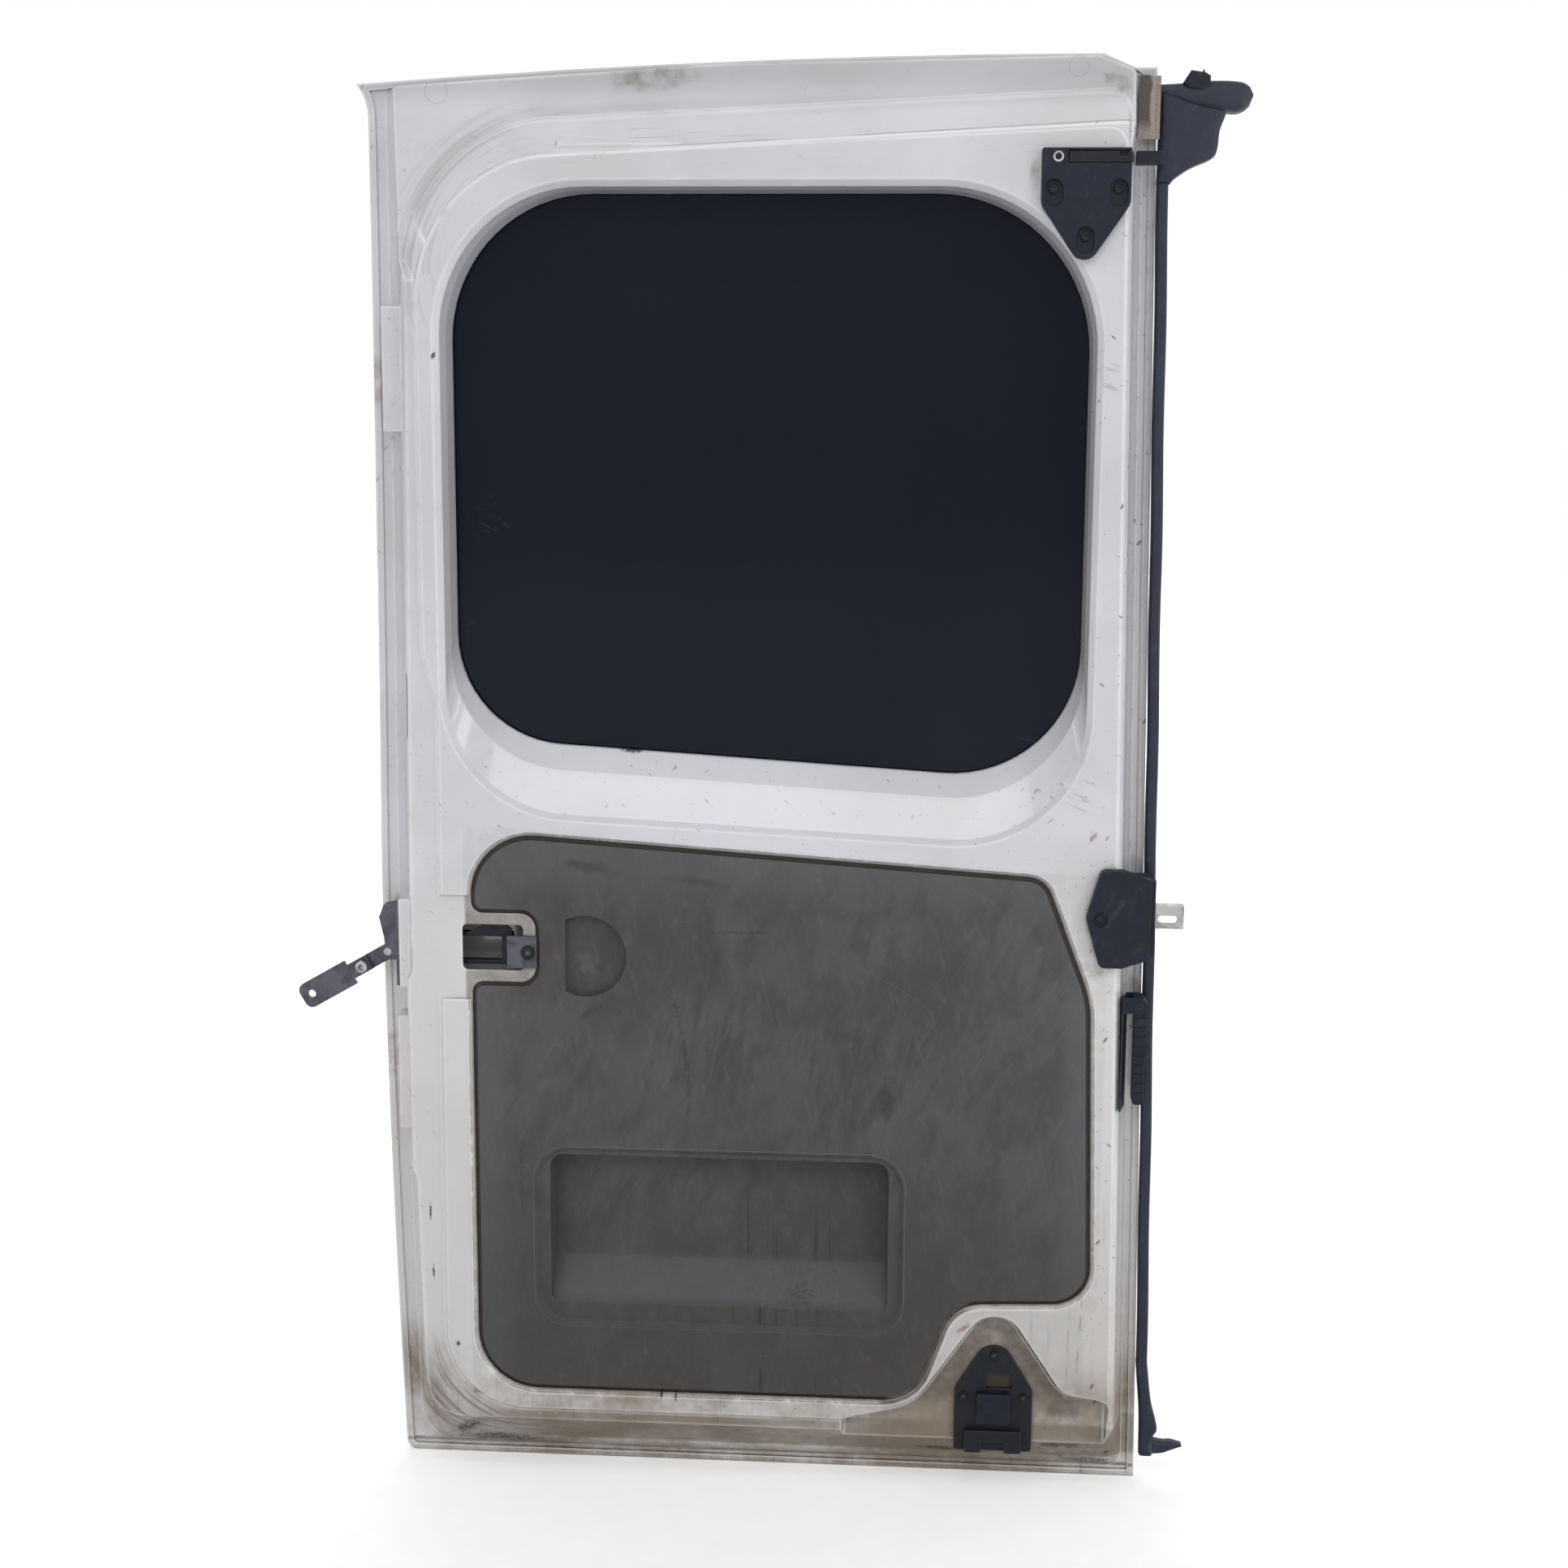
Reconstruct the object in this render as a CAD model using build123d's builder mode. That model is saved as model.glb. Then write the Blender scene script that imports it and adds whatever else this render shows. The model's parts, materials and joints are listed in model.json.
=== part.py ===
from build123d import *
import math
import os

# Rear barn door of a van turned camper, seen from the cabin side.
# X runs from the hinge edge to the free edge, Y from the cabin face to the outside, Z up.
# Z = 0 is the middle of the lower hinge, X = 0 lies on the hinge pads, Y = 0 is mid depth.

# Main sizes: from the hinge pads to the foot of the free edge, and from bottom to top
door_width = 766.0
door_height = 1436.0
hinge_height = 430.0

# The two pressings
sheet = 2.0
door_depth = 48.0
band_drop = 4.0
header_drop = 16.0
header_side_drop = 168.0
header_run = 19.0
crown = 6.0
skin_rise = 7.0
flange_width = 17.0
hem_gap = 1.5
hem_width = 7.0
skin_low_lean = 2.0
skin_top_lean = 2.0
waist_z = 282.0

# Outline of the door, which is the hem of the outer skin
top_fall = 25.0
top_bow = 6.5
ear_x = -25.0
ear_height = 30.0
hinge_top_x = -14.5
hinge_waist_x = -20.5
hinge_waist_z = 200.0
hinge_bottom_x = -8.0
hinge_straight_drop = 151.0
free_lean = 25.0
corner_cut_inset = 50.0
hem_corner_radius = 12.0
corner_cut_drop = 13.0
corner_cut_run = 30.0
hinge_low_bow = 0.72
hinge_high_bow = 0.62

# Inner panel: foot of the walls at the seam and edge of the seal band in front
hinge_draft = 19.0
edge_shoulder_drop = 176.0
edge_shoulder_swell = 5.0
edge_foot_swell = 1.0
edge_waist_x = 15.5
edge_low_in = 3.0
swell_half = 116.0
swell_flat = 101.0
swell_out = 4.0
swell_root = 2.0
swell_depth = 16.0
free_draft = 11.0
band_bottom_rise = 57.0
foot_bottom_rise = 9.0
panel_top_inset = 6.0
free_flange = 14.0
panel_corner_radius = 40.0
panel_edge_radius = 5.0
panel_top_radius = 900.0
panel_cut_radius = 12.0
panel_free_radius = 8.0
panel_foot_radius = 14.0
panel_waist_radius = 4000.0
panel_rim_bevel = 3.0

# Raised frame that carries window and trim
frame_left_x = 36.0
frame_step_x = 14.0
frame_step_z = 410.0
frame_top_left_drop = 76.0
frame_top_right_drop = 69.0
frame_bottom_rise = 71.0
frame_free_inset = 3.0
frame_side_slope = 12.0
frame_top_slope = 34.0
frame_bottom_slope = 9.0
frame_corner_radius = 140.0
frame_corner_spread = 10.0
frame_low_radius = 85.0
frame_free_radius = 20.0
frame_crest_bevel = 3.0
frame_step_radius = 60.0

# Window: visible opening where the glass starts, and the same opening at the cabin face
window_left_x = 64.0
window_right_inset = 80.5
window_top_drop = 103.0
window_low_left_z = 346.0
window_low_right_z = 309.0
window_radius_tl = 140.0
window_radius_tr = 150.0
window_radius_br = 125.0
window_radius_bl = 110.0
reveal_depth = 42.0
reveal_side = 5.0
reveal_top = 3.0
reveal_sill_left = 66.0
reveal_sill_right = 59.0
reveal_hollow = 0.36
reveal_radius_growth = 15.0
reveal_bevel = 6.0
glass_thickness = 4.0
glass_overlap = 22.0
glass_gap = 3.0
bead_height = 4.0
bead_inset = 6.0
bead_width = 9.0

# Trim panel and the recess that it sits in
trim_left_x = 85.0
trim_right_inset = 59.0
trim_top_left_z = 252.0
trim_top_right_z = 215.0
trim_shoulder_run = 55.0
trim_shoulder_z = 95.0
trim_bottom_rise = 99.0
trim_step_rise = 211.0
trim_step_inset = 46.0
trim_step_run = 38.0
trim_step_fall = 5.0
trim_right_lean = 9.0
trim_corner_radius = 58.0
trim_shoulder_radius = 22.0
trim_side_radius = 110.0
trim_step_radius = 34.0
trim_hollow_radius = 46.0
trim_foot_radius = 44.0
trim_notch_radius = 7.0
trim_tongue_radius = 20.0
trim_gap = 4.5
trim_recess_bevel = 4.0
trim_recess = 7.0
trim_wall = 2.5
trim_proud = 5.0
trim_ledge = 22.0
pocket_left_x = 142.0
pocket_width = 378.0
pocket_height = 191.0
pocket_rise = 68.0
pocket_depth = 34.0
pocket_radius = 36.0
pocket_rim = 4.0
pocket_shelf_depth = 4.0
pocket_shelf_side = 15.0
pocket_shelf_top = 8.0
pocket_shelf_low = 23.0
pocket_wall_slope = 3.0
pocket_ledge_rise = 40.0
pocket_floor_radius = 11.0
thumb_x = 176.0
thumb_z = 130.0
thumb_radius = 42.0
thumb_reach = 62.0
thumb_depth = 9.0

# Check opening beside the trim panel
check_z = 137.0
check_tongue_x = 150.0
check_tongue_height = 80.0
check_channel_height = 108.0
channel_radius = 14.0
check_hole_left_x = 71.0
check_hole_width = 62.0
check_hole_height = 47.0
check_hole_radius = 5.0
catch_inset = 3.0
catch_drop = 4.0
catch_height = 33.0
catch_thickness = 3.0
catch_leg = 16.0
catch_depth = 24.0
catch_bolt_inset = 9.0
catch_bolt_radius = 7.0
catch_bolt_height = 3.0
strap_length = 58.0
strap_wall = 8.0
strap_depth = 10.0
hook_sink = 10.0
hook_length = 44.0
hook_height = 15.0
hook_thickness = 3.0
hook_knee_place = 22.0
hook_knee_height = 11.0
hook_crest_place = 9.0
hook_root_height = 4.5

# Hinge pads on the hinge edge
hinge_spacing = 710.0
pad_height = 120.0
pad_width = 26.0
pad_y = 4.0
pad_reach = 24.0
hinge_bolt_pitch = 76.0
hinge_bolt_radius = 4.5
wall_slot_y = -11.0
wall_slot_z = 380.0
wall_slot_length = 67.0
wall_slot_width = 8.0

# Check strap: pad, bracket and arm
check_pad_x = 4.0
check_pad_y = -4.0
check_pad_width = 18.0
check_pad_height = 92.0
arm_pivot_x = -9.0
arm_pivot_z = 127.0
arm_pin_radius = 4.0
arm_pin_play = 0.05
arm_droop = 30.0
arm_length = 103.0
arm_link_length = 62.0
arm_width = 27.0
arm_neck = 16.0
arm_thickness = 4.0
arm_step = 45.0
arm_end_radius = 8.0
arm_hole_inset = 11.0
arm_hole_radius = 4.0
arm_bush_place = 30.0
arm_bush_bore = 3.0
arm_bush_radius = 6.0
arm_bush_height = 7.0
lug_thickness = 3.0
lug_play = 0.6
lug_radius = 8.0
blade_height = 52.0
blade_tip_drop = 3.0
blade_tip_out = 3.0
blade_bend_rise = 36.0

# Upper latch on the frame beside the window
upper_latch_inset = 91.5
upper_latch_drop = 92.0
upper_latch_width = 83.0
upper_latch_straight = 51.0
upper_latch_height = 101.0
upper_latch_tip = 14.0
upper_latch_corner = 2.0
upper_latch_shoulder_radius = 18.0
upper_latch_tip_radius = 13.0
latch_thickness = 8.0
latch_bolt_radius = 4.5
latch_recess_radius = 9.0
latch_recess_drop = 8.0
latch_recess_depth = 5.0
latch_slot_height = 12.0
latch_slot_left = 24.0
latch_slot_inset = 2.0
latch_bolt_inset = 11.5
latch_bolt_drop = 37.0
latch_bolt_tip = 21.0
latch_bolt_height = 3.0
latch_bar_play = 1.2
latch_bar_notch = 9.0
latch_bar_notch_place = 50.0
latch_bar_thickness = 4.0
latch_bush_inset = 15.0
latch_bush_radius = 5.0
latch_bush_bore = 3.0
latch_bush_height = 1.2
latch_arm_y = -16.0
latch_arm_depth = 12.0
latch_arm_reach = 25.0

# Lower latch in its pocket at the bottom edge
lower_latch_inset = 150.0
lower_latch_rise = 164.0
lower_latch_height = 123.0
lower_latch_width = 80.0
lower_latch_shoulder = 56.0
lower_latch_tip = 20.0
lower_latch_corner = 3.0
lower_latch_shoulder_radius = 10.0
lower_pocket_depth = 12.0
lower_pocket_rise = 44.0
lower_pocket_left = 154.0
lower_pocket_right = 10.0
lower_pocket_run = 72.0
lower_pocket_draft = 9.0
lower_pocket_bevel = 16.0
lower_pocket_far = 68.0
lower_pocket_shelf = 34.0
lower_pocket_shelf_end = 28.0
lower_pocket_left_radius = 60.0
lower_pocket_top_radius = 26.0
lower_pocket_right_radius = 30.0
lower_pocket_end_radius = 8.0
lower_latch_plate = 4.0
lower_box_width = 34.0
lower_box_height = 32.0
lower_box_rise = 8.0
lower_box_drop = 74.0
lower_window_width = 27.0
lower_window_height = 17.0
lower_window_shift = 5.5
lower_window_drop = 46.0
lower_bolt_drop = 18.0
lower_bolt_side = 31.0
lower_bolt_low_drop = 64.0
claw_height = 24.0
claw_width = 58.0
claw_mouth = 24.0
claw_rise = 6.0

# Striker on the free edge with its cover
striker_z = 182.0
cover_inset = 71.0
cover_height = 98.0
cover_side_height = 80.0
cover_thickness = 10.0
cover_wrap = 28.0
cover_overhang = 2.5
cover_bend_out = 1.0
cover_shoulder = 14.0
cover_corner = 7.0
cover_bend_radius = 5.0
cover_point_radius = 9.0
cover_screw_inset = 13.0
cover_screw_sink = 3.0
cover_screw_well = 8.0
cover_screw_radius = 4.0
cover_screw_height = 2.0
striker_plate_thickness = 5.0
striker_plate_height = 77.0
striker_plate_width = 30.0
striker_reach = 29.0
striker_height = 23.0
striker_wall = 3.0
striker_depth = 14.0
striker_slot_height = 7.0
striker_slot_length = 19.0
striker_slot_place = 13.0
striker_slot_drop = 2.0

# Release lever on the free edge
lever_top_z = 92.0
lever_length = 103.0
lever_inset = 14.5
lever_knuckle = 8.0
lever_width = 18.0
lever_lug = 2.5
lever_root = 4.5
lever_rib_pad = 8.0
lever_tip = 11.0
lever_end_radius = 4.0
lever_y = -10.0
lever_pin_radius = 3.0
lever_pin_play = 0.05
lever_rib_count = 9
lever_rib_depth = 1.4
lever_rib_height = 3.0
lever_base_height = 118.0
lever_base_thickness = 1.5
lever_side_play = 0.8

# Rubber seal along the free edge
seal_width = 12.0
seal_depth = 16.0
seal_top_drop = 28.0
seal_bottom_rise = 130.0
seal_gap = 0.3
cap_reach = 86.0
cap_depth = 34.0
cap_clip_width = 21.0
cap_clip_height = 8.0
cap_top_drop = 28.0
cap_arm = 25.0
cap_waist = 58.0
cap_taper = 2.0
cap_neck_drop = 6.0
cap_neck_in = 6.0
cap_neck_height = 40.0
cap_root_radius = 2.0
cap_tip_radius = 6.0
cap_under_radius = 8.0
cap_waist_radius = 14.0
cap_neck_radius = 7.0
cap_heel = 24.0
cap_heel_rise = 12.0
cap_clip_place = 34.0
cap_clip_depth = 20.0
foot_reach = 52.0
foot_rise = 28.0
foot_flare = 10.0
foot_flare_rise = 26.0
foot_tip_rise = 10.0
foot_tip_in = 12.0
foot_hollow_radius = 12.0
foot_tip_radius = 2.0
corner_strip_y = -1.0
corner_strip_drop = 81.0
corner_strip_height = 57.0

# Places that follow from the sizes above
door_bottom_z = -hinge_height
free_top_z = door_bottom_z + door_height
hinge_top_z = free_top_z - top_fall
hinge_straight_z = hinge_top_z - hinge_straight_drop
free_bottom_x = door_width
free_top_x = door_width - free_lean
corner_cut_x = free_top_x - corner_cut_inset
frame_top_left_z = hinge_top_z - frame_top_left_drop
frame_top_right_z = free_top_z - frame_top_right_drop
frame_bottom_z = door_bottom_z + frame_bottom_rise
window_right_x = door_width - window_right_inset
window_top_z = hinge_top_z - window_top_drop
upper_latch_x = door_width - upper_latch_inset
upper_latch_top_z = free_top_z - upper_latch_drop
lower_latch_x = door_width - lower_latch_inset
lower_latch_top_z = door_bottom_z + lower_latch_rise
lower_latch_bottom_z = lower_latch_top_z - lower_latch_height
lower_box_z = lower_latch_top_z - lower_box_drop
lower_window_z = lower_latch_top_z - lower_window_drop
lower_bolt_z = lower_latch_top_z - lower_bolt_low_drop
trim_right_x = door_width - trim_right_inset
trim_shoulder_x = trim_right_x - trim_shoulder_run
trim_bottom_z = door_bottom_z + trim_bottom_rise
trim_step_z = door_bottom_z + trim_step_rise
trim_step_x = lower_latch_x - trim_step_inset
pocket_bottom_z = trim_bottom_z + pocket_rise
cover_left_x = door_width - cover_inset
lever_x = door_width - lever_inset
seal_top_z = upper_latch_top_z - seal_top_drop
seal_bottom_z = door_bottom_z + seal_bottom_rise
cap_top_z = free_top_z - cap_top_drop
corner_strip_low_z = free_top_z - corner_strip_drop

# Levels that follow from the depth
face_y = -door_depth / 2
seam_y = door_depth / 2
band_y = face_y + band_drop
header_y = face_y + header_drop
glass_seat_y = face_y + reveal_depth
skin_y = seam_y + skin_rise
glass_y = glass_seat_y + sheet + bead_height
recess_y = face_y + trim_recess
trim_y = recess_y - trim_proud
latch_floor_y = face_y + lower_pocket_depth
hem_y = seam_y - 2 * sheet
far = 2 * door_depth

os.makedirs("parts", exist_ok=True)


def cabin_plane(y):
    """Plane across the door at depth y, looking at the cabin: local x is X and local y is Z."""
    return Plane.XZ.offset(-y)


def outline(y, corners, radii, grow=0):
    """Face at depth y with straight sides and rounded corners, let out by grow."""
    with BuildSketch(cabin_plane(y)) as sketch:
        with BuildLine():
            FilletPolyline(*corners, radius=radii, close=True)
        make_face()
        if grow:
            offset(amount=grow)
    return sketch.sketch


def between(start, end, share):
    return start + (end - start) * share


def write(piece, name):
    piece.part.label = name
    export_step(piece.part, "parts/" + name + ".step")


def free_hem_x(z):
    return between(free_top_x, free_bottom_x, (free_top_z - z) / (free_top_z - door_bottom_z))


def free_foot_x(z):
    return free_hem_x(z) - free_flange + seal_gap


def free_wall_x(y, z):
    """Where the free edge's wall stands at depth y and height z."""
    return free_foot_x(z) - free_draft * (seam_y - y) / (seam_y - band_y)


def door_outline(y, grow=0):
    """Hem of the outer skin: bowed top, ear at the hinge corner and a cut free corner."""
    ear = (ear_x, hinge_top_z)
    top_end = (corner_cut_x, free_top_z)
    top_mid = ((ear_x + corner_cut_x) / 2, (hinge_top_z + free_top_z) / 2 + top_bow)
    cut_end = (corner_cut_x + corner_cut_run, free_top_z - corner_cut_drop)
    free_top = (free_hem_x(cut_end[1]), cut_end[1])
    free_low = (free_bottom_x, door_bottom_z)
    hinge_low = (hinge_bottom_x, door_bottom_z)
    hinge_waist = (hinge_waist_x, hinge_waist_z)
    hinge_high = (hinge_top_x, hinge_straight_z)
    ear_foot = (hinge_top_x, hinge_top_z - ear_height)
    low_mid_z = (door_bottom_z + hinge_waist_z) / 2
    high_mid_z = (hinge_waist_z + hinge_straight_z) / 2
    with BuildSketch(cabin_plane(y)) as sketch:
        with BuildLine():
            ThreePointArc(ear, top_mid, top_end)
            Polyline(top_end, cut_end, free_top, free_low, hinge_low)
            low_mid = (between(hinge_bottom_x, hinge_waist_x, hinge_low_bow), low_mid_z)
            ThreePointArc(hinge_low, low_mid, hinge_waist)
            high_mid = (between(hinge_waist_x, hinge_top_x, hinge_high_bow), high_mid_z)
            ThreePointArc(hinge_waist, high_mid, hinge_high)
            Line(hinge_high, ear_foot)
            TangentArc(ear_foot, ear, tangent=(0, 1))
        make_face()
        fillet(sketch.vertices().group_by(Axis.Y)[0].sort_by(Axis.X)[0], hem_corner_radius)
        if grow:
            offset(amount=grow, kind=Kind.INTERSECTION)
    return sketch.sketch


def hinge_foot_x(z):
    """Foot of the hinge wall at height z, a flange's width in from a straightened hem."""
    if z > hinge_waist_z:
        share = (z - hinge_waist_z) / (hinge_top_z - hinge_waist_z)
        return between(hinge_waist_x, hinge_top_x, share) + flange_width
    share = (hinge_waist_z - z) / (hinge_waist_z - door_bottom_z)
    return between(hinge_waist_x, hinge_bottom_x, share) + flange_width


def panel_corners(foot):
    """Corners of the inner panel's wall, at the foot or at the front edge."""
    draft = 0 if foot else 1
    rise = foot_bottom_rise if foot else band_bottom_rise
    low_z = door_bottom_z + rise
    shoulder_z = hinge_top_z - edge_shoulder_drop
    waist = (hinge_foot_x(hinge_waist_z), hinge_waist_z) if foot else (edge_waist_x, 0)
    swell = edge_foot_swell if foot else edge_shoulder_swell
    top_left_z = hinge_top_z - panel_top_inset
    top_mid_x = (ear_x + corner_cut_x) / 2
    top_mid_z = (hinge_top_z + free_top_z) / 2 + top_bow - panel_top_inset
    top_right_z = free_top_z - panel_top_inset
    cut_z = free_top_z - corner_cut_drop - panel_top_inset
    return [
        (hinge_foot_x(top_left_z) + draft * hinge_draft, top_left_z),
        (top_mid_x, top_mid_z),
        (corner_cut_x - panel_top_inset, top_right_z),
        (free_foot_x(cut_z) - draft * free_draft, cut_z),
        (free_foot_x(low_z) - draft * free_draft, low_z),
        (hinge_foot_x(low_z) + draft * (hinge_draft - edge_low_in), low_z),
        waist,
        (hinge_foot_x(shoulder_z) + draft * hinge_draft + swell, shoulder_z),
    ]


panel_radii = [
    panel_edge_radius,
    panel_top_radius,
    panel_cut_radius,
    panel_free_radius,
    panel_foot_radius,
    panel_corner_radius,
    panel_waist_radius,
    panel_waist_radius,
]


def band_edge_x(z):
    """Front edge of the hinge wall at height z, on its straight run below the shoulder."""
    shoulder_z = hinge_top_z - edge_shoulder_drop
    if z < 0:
        low_z = door_bottom_z + band_bottom_rise
        low_x = hinge_foot_x(low_z) + hinge_draft - edge_low_in
        return between(edge_waist_x, low_x, z / low_z)
    shoulder_x = hinge_foot_x(shoulder_z) + hinge_draft + edge_shoulder_swell
    return between(edge_waist_x, shoulder_x, z / shoulder_z)


def frame_corners(foot):
    """Corners of the raised frame, at its crest or at its foot on the header's level."""
    out = 1 if foot else 0
    side = out * frame_side_slope
    top = out * frame_top_slope
    low = out * frame_bottom_slope
    left = frame_left_x - side
    low_left = frame_left_x + frame_step_x - side
    free_top = free_wall_x(band_y, frame_top_right_z) - frame_free_inset
    free_low = free_wall_x(band_y, frame_bottom_z) - frame_free_inset
    return [
        (left, frame_top_left_z + top),
        (free_top, frame_top_right_z + top),
        (free_low, frame_bottom_z - low),
        (low_left - frame_step_x / 3, frame_bottom_z - low),
        (low_left, frame_step_z - 2 * frame_step_x),
        (left, frame_step_z + 2 * frame_step_x),
    ]


def frame_radii(foot):
    corner = frame_corner_radius + (frame_corner_spread if foot else 0)
    free = frame_free_radius
    return [corner, free, free, frame_low_radius, frame_step_radius, frame_step_radius]


def window_corners(share):
    """Corners of the window reveal, from share 0 at the glass to 1 at the mouth."""
    left = window_left_x - share * reveal_side
    right = window_right_x + share * reveal_side
    top = window_top_z + share * reveal_top
    return [
        (left, top),
        (right, top),
        (right, window_low_right_z - share * reveal_sill_right),
        (left, window_low_left_z - share * reveal_sill_left),
    ]


def window_radii(share):
    low_left = window_radius_bl + share * reveal_radius_growth
    return [window_radius_tl, window_radius_tr, window_radius_br, low_left]


def window_outline(y, share, grow=0):
    return outline(y, window_corners(share), window_radii(share), grow)


def trim_corners():
    """Outline of the trim panel, with the notch for the check and the step for the lower latch."""
    notch_top = check_z + check_tongue_height / 2
    notch_low = check_z - check_tongue_height / 2
    return [
        (trim_left_x, trim_top_left_z),
        (trim_shoulder_x, trim_top_right_z),
        (trim_right_x - trim_right_lean, trim_shoulder_z),
        (trim_right_x, trim_step_z),
        (trim_step_x, trim_step_z - trim_step_fall),
        (trim_step_x - trim_step_run, trim_bottom_z),
        (trim_left_x, trim_bottom_z),
        (trim_left_x, notch_low),
        (check_tongue_x, notch_low),
        (check_tongue_x, notch_top),
        (trim_left_x, notch_top),
    ]


trim_radii = [
    trim_corner_radius,
    trim_shoulder_radius,
    trim_side_radius,
    trim_step_radius,
    trim_hollow_radius,
    trim_foot_radius,
    trim_corner_radius,
    trim_notch_radius,
    trim_tongue_radius,
    trim_tongue_radius,
    trim_notch_radius,
]


def latch_pocket_corners():
    """Triangular pocket of the lower latch, open at the bottom."""
    low = door_bottom_z
    left = lower_latch_x - lower_pocket_left
    right = free_wall_x(band_y, frame_bottom_z) - lower_pocket_right
    return [
        (left, frame_bottom_z),
        (left + lower_pocket_run, frame_bottom_z + lower_pocket_bevel),
        (lower_latch_x, lower_latch_top_z + lower_pocket_rise),
        (lower_latch_x + lower_pocket_far, frame_bottom_z + lower_pocket_shelf),
        (right, frame_bottom_z + lower_pocket_shelf_end),
        (right, low),
        (left, low),
    ]


pocket_radii = [
    0,
    lower_pocket_left_radius,
    lower_pocket_top_radius,
    lower_pocket_right_radius,
    lower_pocket_end_radius,
    0,
    0,
]


def channel_corners():
    """Channel at seal band level that leads from the hinge edge to the check opening."""
    half = check_channel_height / 2
    left = trim_left_x - far
    right = check_tongue_x + trim_gap
    return [
        (left, check_z + half),
        (right, check_z + half),
        (right, check_z - half),
        (left, check_z - half),
    ]


def pad_boxes(skin):
    """Flat pads pressed out of the hinge wall: two for the hinges and one for the check."""
    for z in (0, hinge_spacing):
        with Locations((skin, pad_y, z)):
            size = (pad_reach, pad_width - 2 * skin, pad_height - 2 * skin)
            Box(*size, align=(Align.MIN, Align.CENTER, Align.CENTER))
    with Locations((check_pad_x + skin, check_pad_y, check_z)):
        size = (pad_reach - check_pad_x, check_pad_width - 2 * skin, check_pad_height - 2 * skin)
        Box(*size, align=(Align.MIN, Align.CENTER, Align.CENTER))


def bevel(length, skin):
    """Bevel of an edge that keeps the sheet's thickness on the inner side."""
    return length - skin * (2 - math.sqrt(2))


def frame_form(skin):
    """Raised frame with its bevelled crest and, sunk in it, the recess for the trim panel."""
    crest_edge = bevel(frame_crest_bevel, skin)
    recess_edge = bevel(trim_recess_bevel, skin)
    face = face_y + skin
    with BuildPart() as form:
        foot = outline(header_y, frame_corners(True), frame_radii(True), -skin)
        wall = outline(face + crest_edge, frame_corners(False), frame_radii(False), -skin)
        crest = outline(face, frame_corners(False), frame_radii(False), -skin - crest_edge)
        loft([foot, wall, crest], ruled=True)
        extrude(trim_recess_face(skin), amount=far, mode=Mode.SUBTRACT)
        lip = outline(face + recess_edge, trim_corners(), trim_radii, trim_gap + skin)
        mouth = outline(face, trim_corners(), trim_radii, trim_gap + skin + recess_edge)
        loft([lip, mouth], ruled=True, mode=Mode.SUBTRACT)
    return form.part


def header_section(x, end_z, skin):
    """Cut through what lies in front of the header: a slope from the seal band up to end_z."""
    top_z = free_top_z + far
    start_z = end_z - header_run
    with BuildSketch(Plane.YZ.offset(x)) as sketch:
        with BuildLine():
            Polyline(
                (-far, start_z),
                (band_y + skin, start_z),
                (header_y + skin, end_z),
                (header_y + skin, top_z),
                (-far, top_z),
                close=True,
            )
        make_face()
    return sketch.sketch


def hinge_swell(skin):
    """Stretch of the hinge edge by the lower hinge whose front stands a little further out."""
    edge = bevel(panel_rim_bevel, skin)
    sections = []
    steps = [
        (-swell_half, -swell_root),
        (-swell_flat, swell_out),
        (swell_flat, swell_out),
        (swell_half, -swell_root),
    ]
    for z, out in steps:
        foot_x = hinge_foot_x(z) + skin + swell_root
        front_x = band_edge_x(z) - out + skin
        with BuildSketch(Plane.XY.offset(z)) as sketch:
            with BuildLine():
                Polyline(
                    (foot_x, seam_y),
                    (front_x, band_y + skin + edge),
                    (front_x + edge, band_y + skin),
                    (front_x + swell_depth, band_y + skin),
                    (foot_x + swell_depth, seam_y),
                    close=True,
                )
            make_face()
        sections.append(sketch.sketch)
    loft(sections, ruled=True)


def trim_recess_face(skin):
    return outline(recess_y + skin, trim_corners(), trim_radii, trim_gap + skin)


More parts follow.
